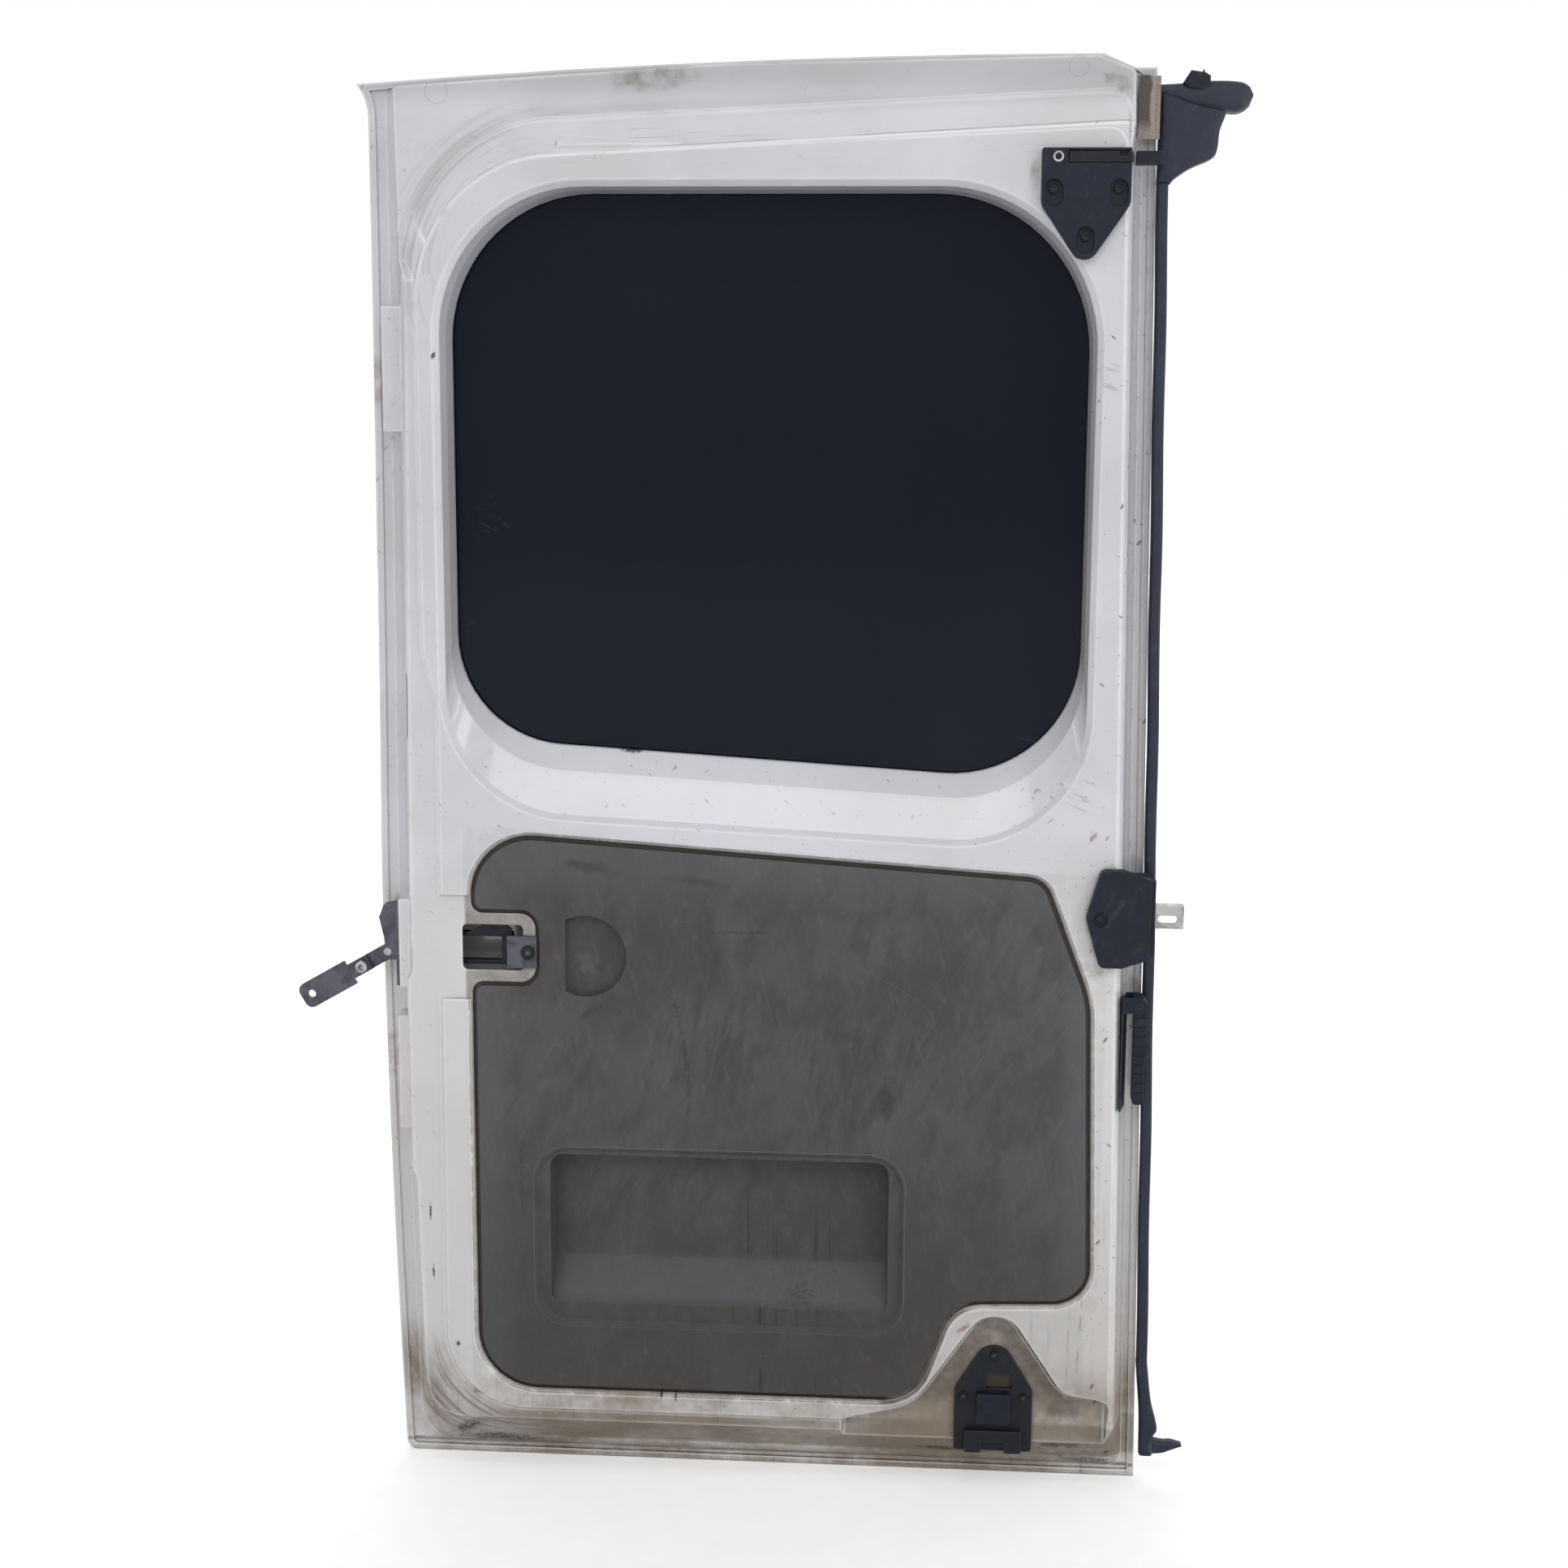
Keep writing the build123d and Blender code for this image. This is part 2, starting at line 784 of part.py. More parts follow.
def panel_form(skin):
    """Volume behind the cabin surface of the inner panel, drawn in by skin on every side."""
    with BuildPart() as form:
        # Walls and seal band
        edge = bevel(panel_rim_bevel, skin)
        foot = outline(seam_y, panel_corners(True), panel_radii, -skin)
        wall = outline(band_y + skin + edge, panel_corners(False), panel_radii, -skin)
        front = outline(band_y + skin, panel_corners(False), panel_radii, -skin - edge)
        loft([foot, wall, front], ruled=True)
        hinge_swell(skin)
        pad_boxes(skin)
        # Header, which falls back above the raised frame and lower down beside it at the hinge
        middle = frame_left_x + frame_corner_radius
        hinge_end_z = hinge_top_z - header_side_drop
        extrude(header_section(-far, hinge_end_z, skin), amount=far + middle, mode=Mode.SUBTRACT)
        free_end_z = frame_top_left_z + frame_top_slope
        extrude(header_section(middle, free_end_z, skin), amount=free_bottom_x, mode=Mode.SUBTRACT)
        # Raised frame with the recess for the trim panel
        add(frame_form(skin))
        extrude(trim_recess_face(skin), amount=far, mode=Mode.SUBTRACT)
        # Channel from the seal band to the check opening
        channel = outline(band_y + skin, channel_corners(), channel_radius, skin)
        extrude(channel, amount=far, mode=Mode.SUBTRACT)
        # Pocket for the lower latch, with sloping sides
        out = skin + lower_pocket_draft
        floor = outline(latch_floor_y + skin, latch_pocket_corners(), pocket_radii, skin)
        mouth = outline(face_y - lower_pocket_depth + skin, latch_pocket_corners(), pocket_radii, out)
        loft([floor, mouth], ruled=True, mode=Mode.SUBTRACT)
        # Window reveal with its wide sill
        edge = bevel(reveal_bevel, skin)
        seat = window_outline(glass_seat_y, 0, skin)
        hollow = window_outline((glass_seat_y + face_y + skin) / 2, reveal_hollow, skin)
        throat = window_outline(face_y + skin + edge, 1, skin)
        mouth = window_outline(face_y + skin, 1, skin + edge)
        loft([seat, hollow, throat, mouth], ruled=True, mode=Mode.SUBTRACT)
        beyond = window_outline(far, 0, skin)
        extrude(beyond, amount=far - glass_seat_y, mode=Mode.SUBTRACT)
    return form.part


outer_form = panel_form(0)
hollow_form = panel_form(sheet)
rebate_edge = glass_overlap + glass_gap

with BuildPart() as inner_panel:
    add(outer_form)
    add(hollow_form, mode=Mode.SUBTRACT)
    # Flange that the hem folds over
    inside = outline(seam_y, panel_corners(True), panel_radii, -sheet)
    extrude(door_outline(seam_y, -sheet - hem_gap) - inside, amount=sheet)
    # Room for the rebate of the outer skin round the glass
    room = window_outline(far, 0, rebate_edge + sheet + hem_gap)
    extrude(room, amount=far - glass_seat_y, mode=Mode.SUBTRACT)
    # Access hole behind the trim panel
    access = outline(far, trim_corners(), trim_radii, -trim_ledge)
    extrude(access, amount=2 * far, mode=Mode.SUBTRACT)
    # Check opening
    with BuildSketch(cabin_plane(far)):
        with Locations((check_hole_left_x + check_hole_width / 2, check_z)):
            RectangleRounded(check_hole_width, check_hole_height, check_hole_radius)
    extrude(amount=2 * far, mode=Mode.SUBTRACT)
    # Long hole in the hinge wall
    with BuildSketch(Plane.YZ):
        with Locations((wall_slot_y, wall_slot_z)):
            SlotOverall(wall_slot_length, wall_slot_width, rotation=90)
    extrude(amount=pad_reach, mode=Mode.SUBTRACT)
    # Bolt holes in the hinge pads
    with BuildSketch(Plane.YZ):
        for z in (0, hinge_spacing):
            with Locations((pad_y, z)):
                with GridLocations(0, hinge_bolt_pitch, 1, 2):
                    Circle(hinge_bolt_radius)
    extrude(amount=pad_reach, mode=Mode.SUBTRACT)
write(inner_panel, "inner_panel")


def skin_section(inset):
    """Cut through the outer skin from below: bowed under the waist line, straight and leaning above."""
    low_z = door_bottom_z - far
    foot_z = door_bottom_z - hem_width
    top_z = free_top_z + far
    low_y = skin_y - skin_low_lean - inset
    waist_y = skin_y - inset
    top_y = skin_y - skin_top_lean - inset
    bow = ((low_y + waist_y) / 2 + crown, (door_bottom_z + waist_z) / 2)
    with BuildSketch(Plane.YZ.offset(-far)) as sketch:
        with BuildLine():
            Polyline((-far, low_z), (low_y, low_z), (low_y, foot_z))
            ThreePointArc((low_y, foot_z), bow, (waist_y, waist_z))
            Polyline((waist_y, waist_z), (top_y, top_z), (-far, top_z), (-far, low_z))
        make_face()
    return sketch.sketch


def skin_form(inset):
    """Volume between the hem and the outer face of the skin, drawn in by inset."""
    with BuildPart() as form:
        extrude(door_outline(far, -inset), amount=far - hem_y - inset)
        extrude(skin_section(inset), amount=free_bottom_x + 3 * far, mode=Mode.INTERSECT)
    return form.part


with BuildPart() as window_tray:
    tray = window_outline(far, 0, rebate_edge + sheet)
    extrude(tray, amount=far - glass_seat_y)
    extrude(skin_section(0), amount=free_bottom_x + 3 * far, mode=Mode.INTERSECT)

with BuildPart() as outer_skin:
    add(skin_form(0))
    add(skin_form(sheet), mode=Mode.SUBTRACT)
    # Mouth of the pan, which leaves a narrow hem folded over the inner panel's flange
    with BuildSketch(cabin_plane(hem_y + sheet)):
        add(door_outline(hem_y + sheet, -hem_width))
        add(outline(hem_y + sheet, panel_corners(True), panel_radii, hem_gap))
    extrude(amount=2 * sheet, mode=Mode.SUBTRACT)
    # Rebate that the window is bonded into
    add(window_tray.part)
    rebate = window_outline(far, 0, rebate_edge)
    extrude(rebate, amount=far - glass_seat_y - sheet, mode=Mode.SUBTRACT)
    opening = window_outline(far, 0)
    extrude(opening, amount=2 * far, mode=Mode.SUBTRACT)
write(outer_skin, "outer_skin")

with BuildPart() as window_glass:
    pane = window_outline(glass_y + glass_thickness, 0, glass_overlap)
    extrude(pane, amount=glass_thickness)
write(window_glass, "window_glass")

with BuildPart() as glass_bead:
    outer = window_outline(glass_y, 0, bead_inset + bead_width)
    extrude(outer, amount=bead_height)
    inner = window_outline(glass_y, 0, bead_inset)
    extrude(inner, amount=bead_height, mode=Mode.SUBTRACT)
write(glass_bead, "glass_bead")


def pocket_stage(depth, side, top, low, radius, grow):
    """Outline of the map pocket at a depth behind the trim's face, let out by grow."""
    left = pocket_left_x + side - grow
    right = pocket_left_x + pocket_width - side + grow
    high = pocket_bottom_z + pocket_height - top + grow
    bottom = pocket_bottom_z + low - grow
    corners = [(left, high), (right, high), (right, bottom), (left, bottom)]
    return outline(trim_y + depth, corners, radius)


def pocket_form(grow):
    """Map pocket: shallow recess with a bevelled rim, steep walls and a ledge that slopes to the floor."""
    shelf_depth = pocket_shelf_depth + grow
    rim_slope = math.degrees(math.atan(pocket_rim / shelf_depth))
    shelf_radius = pocket_radius - pocket_rim
    wall_height = pocket_depth - pocket_shelf_depth
    wall_slope = math.degrees(math.atan(pocket_wall_slope / wall_height))
    floor_side = pocket_shelf_side + pocket_wall_slope
    floor_top = pocket_shelf_top + pocket_wall_slope
    ledge_low = pocket_bottom_z + pocket_shelf_low
    slope_drop = grow * math.hypot(pocket_ledge_rise, wall_height) / wall_height
    shelf_y = trim_y + pocket_shelf_depth
    floor_y = trim_y + pocket_depth
    with BuildPart() as well:
        floor = pocket_stage(
            pocket_depth + grow, floor_side, floor_top, pocket_shelf_low, pocket_floor_radius, grow
        )
        extrude(floor, amount=wall_height + grow, taper=-wall_slope)
        with BuildSketch(Plane.YZ):
            with BuildLine():
                Polyline(
                    (shelf_y - wall_height, ledge_low - pocket_ledge_rise - slope_drop),
                    (floor_y + wall_height, ledge_low + 2 * pocket_ledge_rise - slope_drop),
                    (floor_y + wall_height, ledge_low - pocket_ledge_rise - slope_drop),
                    close=True,
                )
            make_face()
        extrude(amount=free_bottom_x, mode=Mode.SUBTRACT)
    with BuildPart() as form:
        shelf = pocket_stage(shelf_depth, pocket_rim, pocket_rim, pocket_rim, shelf_radius, grow)
        extrude(shelf, amount=shelf_depth, taper=-rim_slope)
        add(well.part)
    return form.part


def thumb_form(grow):
    """D-shaped thumb recess: a round dish with its hinge side cut straight."""
    middle = thumb_x + thumb_reach - thumb_radius
    with BuildPart() as form:
        with BuildSketch(cabin_plane(trim_y + thumb_depth + grow)):
            with Locations((middle, thumb_z)):
                Circle(thumb_radius + grow)
            with Locations((thumb_x - grow, thumb_z)):
                Rectangle(far, far + thumb_radius, align=(Align.MAX, Align.CENTER), mode=Mode.SUBTRACT)
        extrude(amount=thumb_depth + grow)
    return form.part


with BuildPart() as trim_panel:
    extrude(outline(recess_y, trim_corners(), trim_radii), amount=trim_proud)
    inside = outline(recess_y, trim_corners(), trim_radii, -trim_wall)
    extrude(inside, amount=trim_proud - trim_wall, mode=Mode.SUBTRACT)
    add(pocket_form(trim_wall), mode=Mode.SUBTRACT)
    add(thumb_form(trim_wall), mode=Mode.SUBTRACT)
write(trim_panel, "trim_panel")

with BuildPart() as trim_pocket:
    add(pocket_form(trim_wall))
    add(pocket_form(0), mode=Mode.SUBTRACT)
write(trim_pocket, "trim_pocket")

with BuildPart() as trim_thumb_dish:
    add(thumb_form(trim_wall))
    add(thumb_form(0), mode=Mode.SUBTRACT)
write(trim_thumb_dish, "trim_thumb_dish")

# Upper latch: moulded plate with three sunk bolts and a slot along its top
latch_left = upper_latch_x - upper_latch_width / 2
latch_right = upper_latch_x + upper_latch_width / 2
latch_low = upper_latch_top_z - upper_latch_height
latch_shoulder = upper_latch_top_z - upper_latch_straight
upper_corners = [
    (latch_left, upper_latch_top_z),
    (latch_right, upper_latch_top_z),
    (latch_right, latch_shoulder),
    (upper_latch_x + upper_latch_tip / 2, latch_low),
    (upper_latch_x - upper_latch_tip / 2, latch_low),
    (latch_left, latch_shoulder),
]
upper_radii = [
    upper_latch_corner,
    upper_latch_corner,
    upper_latch_shoulder_radius,
    upper_latch_tip_radius,
    upper_latch_tip_radius,
    upper_latch_shoulder_radius,
]
upper_bolts = [
    (latch_left + latch_bolt_inset, upper_latch_top_z - latch_bolt_drop),
    (latch_right - latch_bolt_inset, upper_latch_top_z - latch_bolt_drop),
    (upper_latch_x, latch_low + latch_bolt_tip),
]
latch_front_y = face_y - latch_thickness
latch_recess_y = latch_front_y + latch_recess_depth
latch_slot_z = upper_latch_top_z - latch_slot_inset - latch_slot_height / 2

with BuildPart() as upper_latch:
    extrude(outline(face_y, upper_corners, upper_radii), amount=latch_thickness)
    with BuildSketch(cabin_plane(latch_recess_y)):
        with Locations(*[(x, z - latch_recess_drop / 2) for x, z in upper_bolts]):
            SlotCenterToCenter(latch_recess_drop, 2 * latch_recess_radius, rotation=90)
    extrude(amount=latch_recess_depth, mode=Mode.SUBTRACT)
    with BuildSketch(cabin_plane(latch_recess_y)):
        with Locations((latch_left + latch_slot_left, latch_slot_z)):
            Rectangle(upper_latch_width, latch_slot_height, align=(Align.MIN, Align.CENTER))
    extrude(amount=latch_recess_depth, mode=Mode.SUBTRACT)
write(upper_latch, "upper_latch_plate")

with BuildPart() as upper_latch_bolts:
    with BuildSketch(cabin_plane(latch_recess_y)):
        with Locations(*upper_bolts):
            Circle(latch_bolt_radius)
    extrude(amount=latch_bolt_height)
write(upper_latch_bolts, "upper_latch_bolts")

with BuildPart() as upper_latch_bar:
    bar_left = latch_left + latch_slot_left + latch_bar_play
    bar_right = free_wall_x(band_y, latch_slot_z) - latch_bar_play
    with BuildSketch(cabin_plane(latch_recess_y)):
        with Locations((bar_left, latch_slot_z)):
            size = (bar_right - bar_left, latch_slot_height - 2 * latch_bar_play)
            Rectangle(*size, align=(Align.MIN, Align.CENTER))
        with Locations((bar_left + latch_bar_notch_place, latch_slot_z)):
            size = (latch_bar_notch, latch_slot_height / 2)
            Rectangle(*size, align=(Align.CENTER, Align.MIN), mode=Mode.SUBTRACT)
    extrude(amount=latch_bar_thickness)
write(upper_latch_bar, "upper_latch_bar")

with BuildPart() as upper_latch_bush:
    with BuildSketch(cabin_plane(latch_front_y)):
        with Locations((latch_left + latch_bush_inset, latch_slot_z)):
            Circle(latch_bush_radius)
            Circle(latch_bush_bore, mode=Mode.SUBTRACT)
    extrude(amount=latch_bush_height)
write(upper_latch_bush, "upper_latch_bush")

with BuildPart() as upper_latch_arm:
    arm_left = free_wall_x(latch_arm_y + latch_arm_depth / 2, latch_slot_z - latch_slot_height) + seal_gap
    with Locations((arm_left, latch_arm_y, latch_slot_z)):
        size = (latch_arm_reach, latch_arm_depth, latch_slot_height)
        Box(*size, align=(Align.MIN, Align.CENTER, Align.CENTER))
write(upper_latch_arm, "upper_latch_arm")

# Lower latch: steel plate in the pocket, with its box and the claw at the bottom edge
half_lower = lower_latch_width / 2
lower_corners = [
    (lower_latch_x, lower_latch_top_z + lower_latch_tip / 2),
    (lower_latch_x + half_lower, lower_latch_top_z - lower_latch_shoulder),
    (lower_latch_x + half_lower, lower_latch_bottom_z),
    (lower_latch_x - half_lower, lower_latch_bottom_z),
    (lower_latch_x - half_lower, lower_latch_top_z - lower_latch_shoulder),
]
lower_radii = [
    lower_latch_tip,
    lower_latch_shoulder_radius,
    lower_latch_corner,
    lower_latch_corner,
    lower_latch_shoulder_radius,
]
lower_plate_y = latch_floor_y - lower_latch_plate
lower_bolts = [
    (lower_latch_x, lower_latch_top_z - lower_bolt_drop),
    (lower_latch_x - lower_bolt_side, lower_bolt_z),
    (lower_latch_x + lower_bolt_side, lower_bolt_z),
]

with BuildPart() as lower_latch:
    extrude(outline(latch_floor_y, lower_corners, lower_radii), amount=lower_latch_plate)
    with BuildSketch(cabin_plane(latch_floor_y)):
        with Locations((lower_latch_x + lower_window_shift, lower_window_z)):
            Rectangle(lower_window_width, lower_window_height)
    extrude(amount=lower_latch_plate, mode=Mode.SUBTRACT)
write(lower_latch, "lower_latch_plate")

with BuildPart() as lower_latch_bolts:
    with BuildSketch(cabin_plane(lower_plate_y)):
        with Locations(*lower_bolts):
            Circle(latch_bolt_radius)
    extrude(amount=latch_bolt_height)
write(lower_latch_bolts, "lower_latch_bolts")

with BuildPart() as lower_latch_box:
    with BuildSketch(cabin_plane(lower_plate_y)):
        with Locations((lower_latch_x, lower_box_z)):
            RectangleRounded(lower_box_width, lower_box_height, lower_latch_corner)
    extrude(amount=lower_box_rise)
write(lower_latch_box, "lower_latch_box")

with BuildPart() as lower_latch_claw:
    with BuildSketch(cabin_plane(lower_plate_y)):
        with Locations((lower_latch_x, lower_latch_bottom_z)):
            Rectangle(claw_width, claw_height, align=(Align.CENTER, Align.MIN))
            Rectangle(claw_mouth, claw_height / 2, align=(Align.CENTER, Align.MIN), mode=Mode.SUBTRACT)
    extrude(amount=claw_rise)
write(lower_latch_claw, "lower_latch_claw")

# Striker cover: faceted plastic cap that wraps round the free edge
cover_right = free_hem_x(striker_z) + cover_overhang
cover_half = cover_height / 2
side_half = cover_side_height / 2
cover_bend = free_wall_x(face_y, striker_z) + cover_bend_out
cover_corners = [
    (cover_left_x + cover_shoulder, striker_z + cover_half),
    (cover_bend, striker_z + cover_half),
    (cover_right, striker_z + side_half),
    (cover_right, striker_z - side_half),
    (cover_bend, striker_z - cover_half),
    (cover_left_x + cover_shoulder, striker_z - cover_half),
    (cover_left_x, striker_z),
]
cover_radii = [
    cover_corner,
    cover_bend_radius,
    cover_corner,
    cover_corner,
    cover_bend_radius,
    cover_corner,
    cover_point_radius,
]
cover_front_y = face_y - cover_thickness
screw_x = cover_left_x + cover_screw_inset

with BuildPart() as striker_cover:
    extrude(outline(face_y, cover_corners, cover_radii), amount=cover_thickness)
    skirt_left = free_wall_x(cover_wrap + face_y, striker_z - side_half) + seal_gap
    with BuildSketch(cabin_plane(face_y + cover_wrap)):
        with Locations((cover_right, striker_z)):
            Rectangle(cover_right - skirt_left, 2 * side_half, align=(Align.MAX, Align.CENTER))
    extrude(amount=cover_wrap + cover_thickness)
    with BuildSketch(cabin_plane(cover_front_y + cover_screw_sink)):
        with Locations((screw_x, striker_z)):
            Circle(cover_screw_well)
    extrude(amount=cover_screw_sink, mode=Mode.SUBTRACT)
write(striker_cover, "striker_cover")

with BuildPart() as striker_cover_screw:
    with BuildSketch(cabin_plane(cover_front_y + cover_screw_sink)):
        with Locations((screw_x, striker_z)):
            Circle(cover_screw_radius)
    extrude(amount=cover_screw_height)
write(striker_cover_screw, "striker_cover_screw")

striker_plate_y = face_y + cover_wrap - striker_plate_width
with BuildPart() as striker_plate:
    with Locations((cover_right, striker_plate_y, striker_z)):
        size = (striker_plate_thickness, striker_plate_width, striker_plate_height)
        Box(*size, align=(Align.MIN, Align.MIN, Align.CENTER))
write(striker_plate, "striker_plate")

with BuildPart() as striker_tongue:
    tongue_x = cover_right + striker_plate_thickness
    tongue_y = striker_plate_y + striker_plate_width / 2 - striker_depth / 2
    with Locations((tongue_x, tongue_y, striker_z)):
        Box(striker_reach, striker_depth, striker_height, align=(Align.MIN, Align.MIN, Align.CENTER))
    with Locations((tongue_x, tongue_y + striker_wall, striker_z)):
        inner_size = (striker_reach - striker_wall, striker_depth, striker_height - 2 * striker_wall)
        Box(*inner_size, align=(Align.MIN, Align.MIN, Align.CENTER), mode=Mode.SUBTRACT)
    with BuildSketch(cabin_plane(far)):
        with Locations((tongue_x + striker_slot_place, striker_z - striker_slot_drop)):
            SlotOverall(striker_slot_length, striker_slot_height)
    extrude(amount=2 * far, mode=Mode.SUBTRACT)
write(striker_tongue, "striker_tongue")

# Release lever: ribbed handle that turns on a pin at its top end
lever_near_y = lever_y - lever_width / 2
lever_far_y = lever_y + lever_width / 2
lug_near_y = lever_near_y - lever_side_play - lever_lug
lug_far_y = lever_far_y + lever_side_play + lever_lug

with BuildPart() as release_lever:
    with BuildSketch(cabin_plane(lever_far_y)):
        with Locations((lever_x, lever_top_z)):
            Circle(lever_knuckle)
        with BuildLine():
            low = lever_top_z - lever_length
            FilletPolyline(
                (lever_x - lever_root, lever_top_z),
                (lever_x + lever_knuckle, lever_top_z),
                (lever_x + lever_tip - lever_root, low),
                (lever_x - lever_root, low),
                radius=[0, 0, lever_end_radius, lever_end_radius],
                close=True,
            )
        make_face()
        with Locations((lever_x, lever_top_z)):
            Circle(lever_pin_radius + lever_pin_play, mode=Mode.SUBTRACT)
    extrude(amount=lever_width)
    rib_pitch = (lever_length - lever_knuckle - lever_rib_pad) / lever_rib_count
    first = lever_top_z - lever_knuckle - rib_pitch / 2
    with Locations(*[(lever_x, lever_near_y, first - n * rib_pitch) for n in range(lever_rib_count)]):
        size = (4 * lever_knuckle, 2 * lever_rib_depth, lever_rib_height)
        Box(*size, mode=Mode.SUBTRACT)
write(release_lever, "release_lever")

with BuildPart() as lever_base:
    base_low = lever_top_z + lever_knuckle - lever_base_height
    with BuildSketch(Plane.XY.offset(base_low)):
        with BuildLine():
            near_x = free_wall_x(lug_near_y, base_low) + seal_gap
            far_x = free_wall_x(lug_far_y, base_low) + seal_gap
            Polyline(
                (near_x, lug_near_y),
                (far_x, lug_far_y),
                (far_x + lever_base_thickness, lug_far_y),
                (near_x + lever_base_thickness, lug_near_y),
                close=True,
            )
        make_face()
    extrude(amount=lever_base_height)
    for y, root_x in ((lug_near_y + lever_lug, near_x), (lug_far_y, far_x)):
        with BuildSketch(cabin_plane(y)):
            with Locations((lever_x, lever_top_z)):
                Circle(lever_knuckle)
                length = lever_x - root_x - lever_base_thickness / 2
                Rectangle(length, 2 * lever_knuckle, align=(Align.MAX, Align.CENTER))
                Circle(lever_pin_radius + lever_pin_play, mode=Mode.SUBTRACT)
        extrude(amount=lever_lug)
write(lever_base, "lever_base")

with BuildPart() as lever_pin:
    with BuildSketch(cabin_plane(lug_far_y)):
        with Locations((lever_x, lever_top_z)):
            Circle(lever_pin_radius)
    extrude(amount=lug_far_y - lug_near_y)
write(lever_pin, "lever_pin")


def seal_side(z, out):
    return free_hem_x(z) + seal_gap + out


# Rubber seal on the free edge, with its moulded ends
seal_back_y = seam_y + sheet
with BuildPart() as edge_seal:
    seal_corners = [
        (seal_side(seal_top_z, 0), seal_top_z),
        (seal_side(seal_top_z, seal_width), seal_top_z),
        (seal_side(seal_bottom_z, seal_width), seal_bottom_z),
        (seal_side(seal_bottom_z, 0), seal_bottom_z),
    ]
    extrude(outline(seal_back_y, seal_corners, 0), amount=seal_depth)
    fillet(edge_seal.edges().filter_by(Plane.XZ).filter_by(lambda e: e.length > far), seal_width / 3)
write(edge_seal, "edge_seal")

with BuildPart() as seal_top_cap:
    root = seal_side(seal_top_z, 0)
    top = cap_top_z
    neck_z = top - cap_arm - cap_neck_drop
    cap_corners = [
        (root, top),
        (root + cap_reach, top),
        (root + cap_reach - cap_taper, top - cap_arm),
        (root + cap_waist, neck_z),
        (root + cap_waist - cap_neck_in, neck_z - cap_neck_height),
        (root + cap_heel, seal_top_z + cap_heel_rise),
        (root + seal_width, seal_top_z),
        (root, seal_top_z),
    ]
    cap_radii = [
        cap_root_radius,
        cap_tip_radius,
        cap_under_radius,
        cap_waist_radius,
        cap_neck_radius,
        cap_neck_radius,
        0,
        0,
    ]
    extrude(outline(seal_back_y, cap_corners, cap_radii), amount=cap_depth)
write(seal_top_cap, "seal_top_cap")

with BuildPart() as seal_top_clip:
    with Locations((root + cap_clip_place, seal_back_y - cap_depth / 2, top)):
        Box(cap_clip_width, cap_clip_depth, cap_clip_height, align=(Align.CENTER, Align.CENTER, Align.MIN))
write(seal_top_clip, "seal_top_clip")

with BuildPart() as seal_bottom_cap:
    foot_root = seal_side(seal_bottom_z, 0)
    low = door_bottom_z + foot_rise
    foot_corners = [
        (foot_root, seal_bottom_z),
        (foot_root + seal_width, seal_bottom_z),
        (foot_root + seal_width + foot_flare, low + foot_flare_rise),
        (foot_root + foot_reach, low + foot_tip_rise),
        (foot_root + foot_reach - foot_tip_in, low),
        (seal_side(low, 0), low),
    ]
    foot_radii = [0, 0, foot_hollow_radius, foot_tip_radius, foot_tip_radius, 0]
    extrude(outline(seal_back_y, foot_corners, foot_radii), amount=seal_depth)
write(seal_bottom_cap, "seal_bottom_cap")

with BuildPart() as corner_strip:
    strip_left = free_wall_x(corner_strip_y, corner_strip_low_z) + seal_gap
    with Locations((strip_left, corner_strip_y, corner_strip_low_z)):
        size = (root - seal_gap - strip_left, sheet, corner_strip_height)
        Box(*size, align=(Align.MIN, Align.CENTER, Align.MIN))
write(corner_strip, "corner_strip")

# Check strap at the hinge edge
arm_y = check_pad_y
link_near_y = arm_y - arm_thickness / 2
link_far_y = arm_y + arm_thickness / 2
bracket_x = check_pad_x - lug_thickness

with BuildPart() as check_bracket:
    with Locations((bracket_x, arm_y, check_z)):
        size = (lug_thickness, check_pad_width, check_pad_height - 2 * sheet)
        Box(*size, align=(Align.MIN, Align.CENTER, Align.CENTER))
    for y in (link_near_y - lug_play, link_far_y + lug_play + lug_thickness):
        with BuildSketch(cabin_plane(y)):
            with Locations((arm_pivot_x, arm_pivot_z)):
                Circle(lug_radius)
                Rectangle(bracket_x - arm_pivot_x, 2 * lug_radius, align=(Align.MIN, Align.CENTER))
            with BuildLine():
                Polyline(
                    (bracket_x, arm_pivot_z),
                    (bracket_x, arm_pivot_z + blade_height),
                    (arm_pivot_x - blade_tip_out, arm_pivot_z + blade_height - blade_tip_drop),
                    (arm_pivot_x - lug_radius, arm_pivot_z + blade_bend_rise),
                    (arm_pivot_x, arm_pivot_z),
                    close=True,
                )
            make_face()
            with Locations((arm_pivot_x, arm_pivot_z)):
                Circle(arm_pin_radius + arm_pin_play, mode=Mode.SUBTRACT)
        extrude(amount=lug_thickness)
write(check_bracket, "check_bracket")

with BuildPart() as check_pin:
    pin_end = lug_thickness + lug_play
    with BuildSketch(cabin_plane(link_far_y + pin_end)):
        with Locations((arm_pivot_x, arm_pivot_z)):
            Circle(arm_pin_radius)
    extrude(amount=arm_thickness + 2 * pin_end)
write(check_pin, "check_pin")


def arm_plane(y):
    """Plane of the check arm at depth y: local x runs from the pin to the arm's far end."""
    droop = math.radians(arm_droop)
    along = (-math.cos(droop), 0, -math.sin(droop))
    return Plane((arm_pivot_x, y, arm_pivot_z), x_dir=along, z_dir=(0, -1, 0))


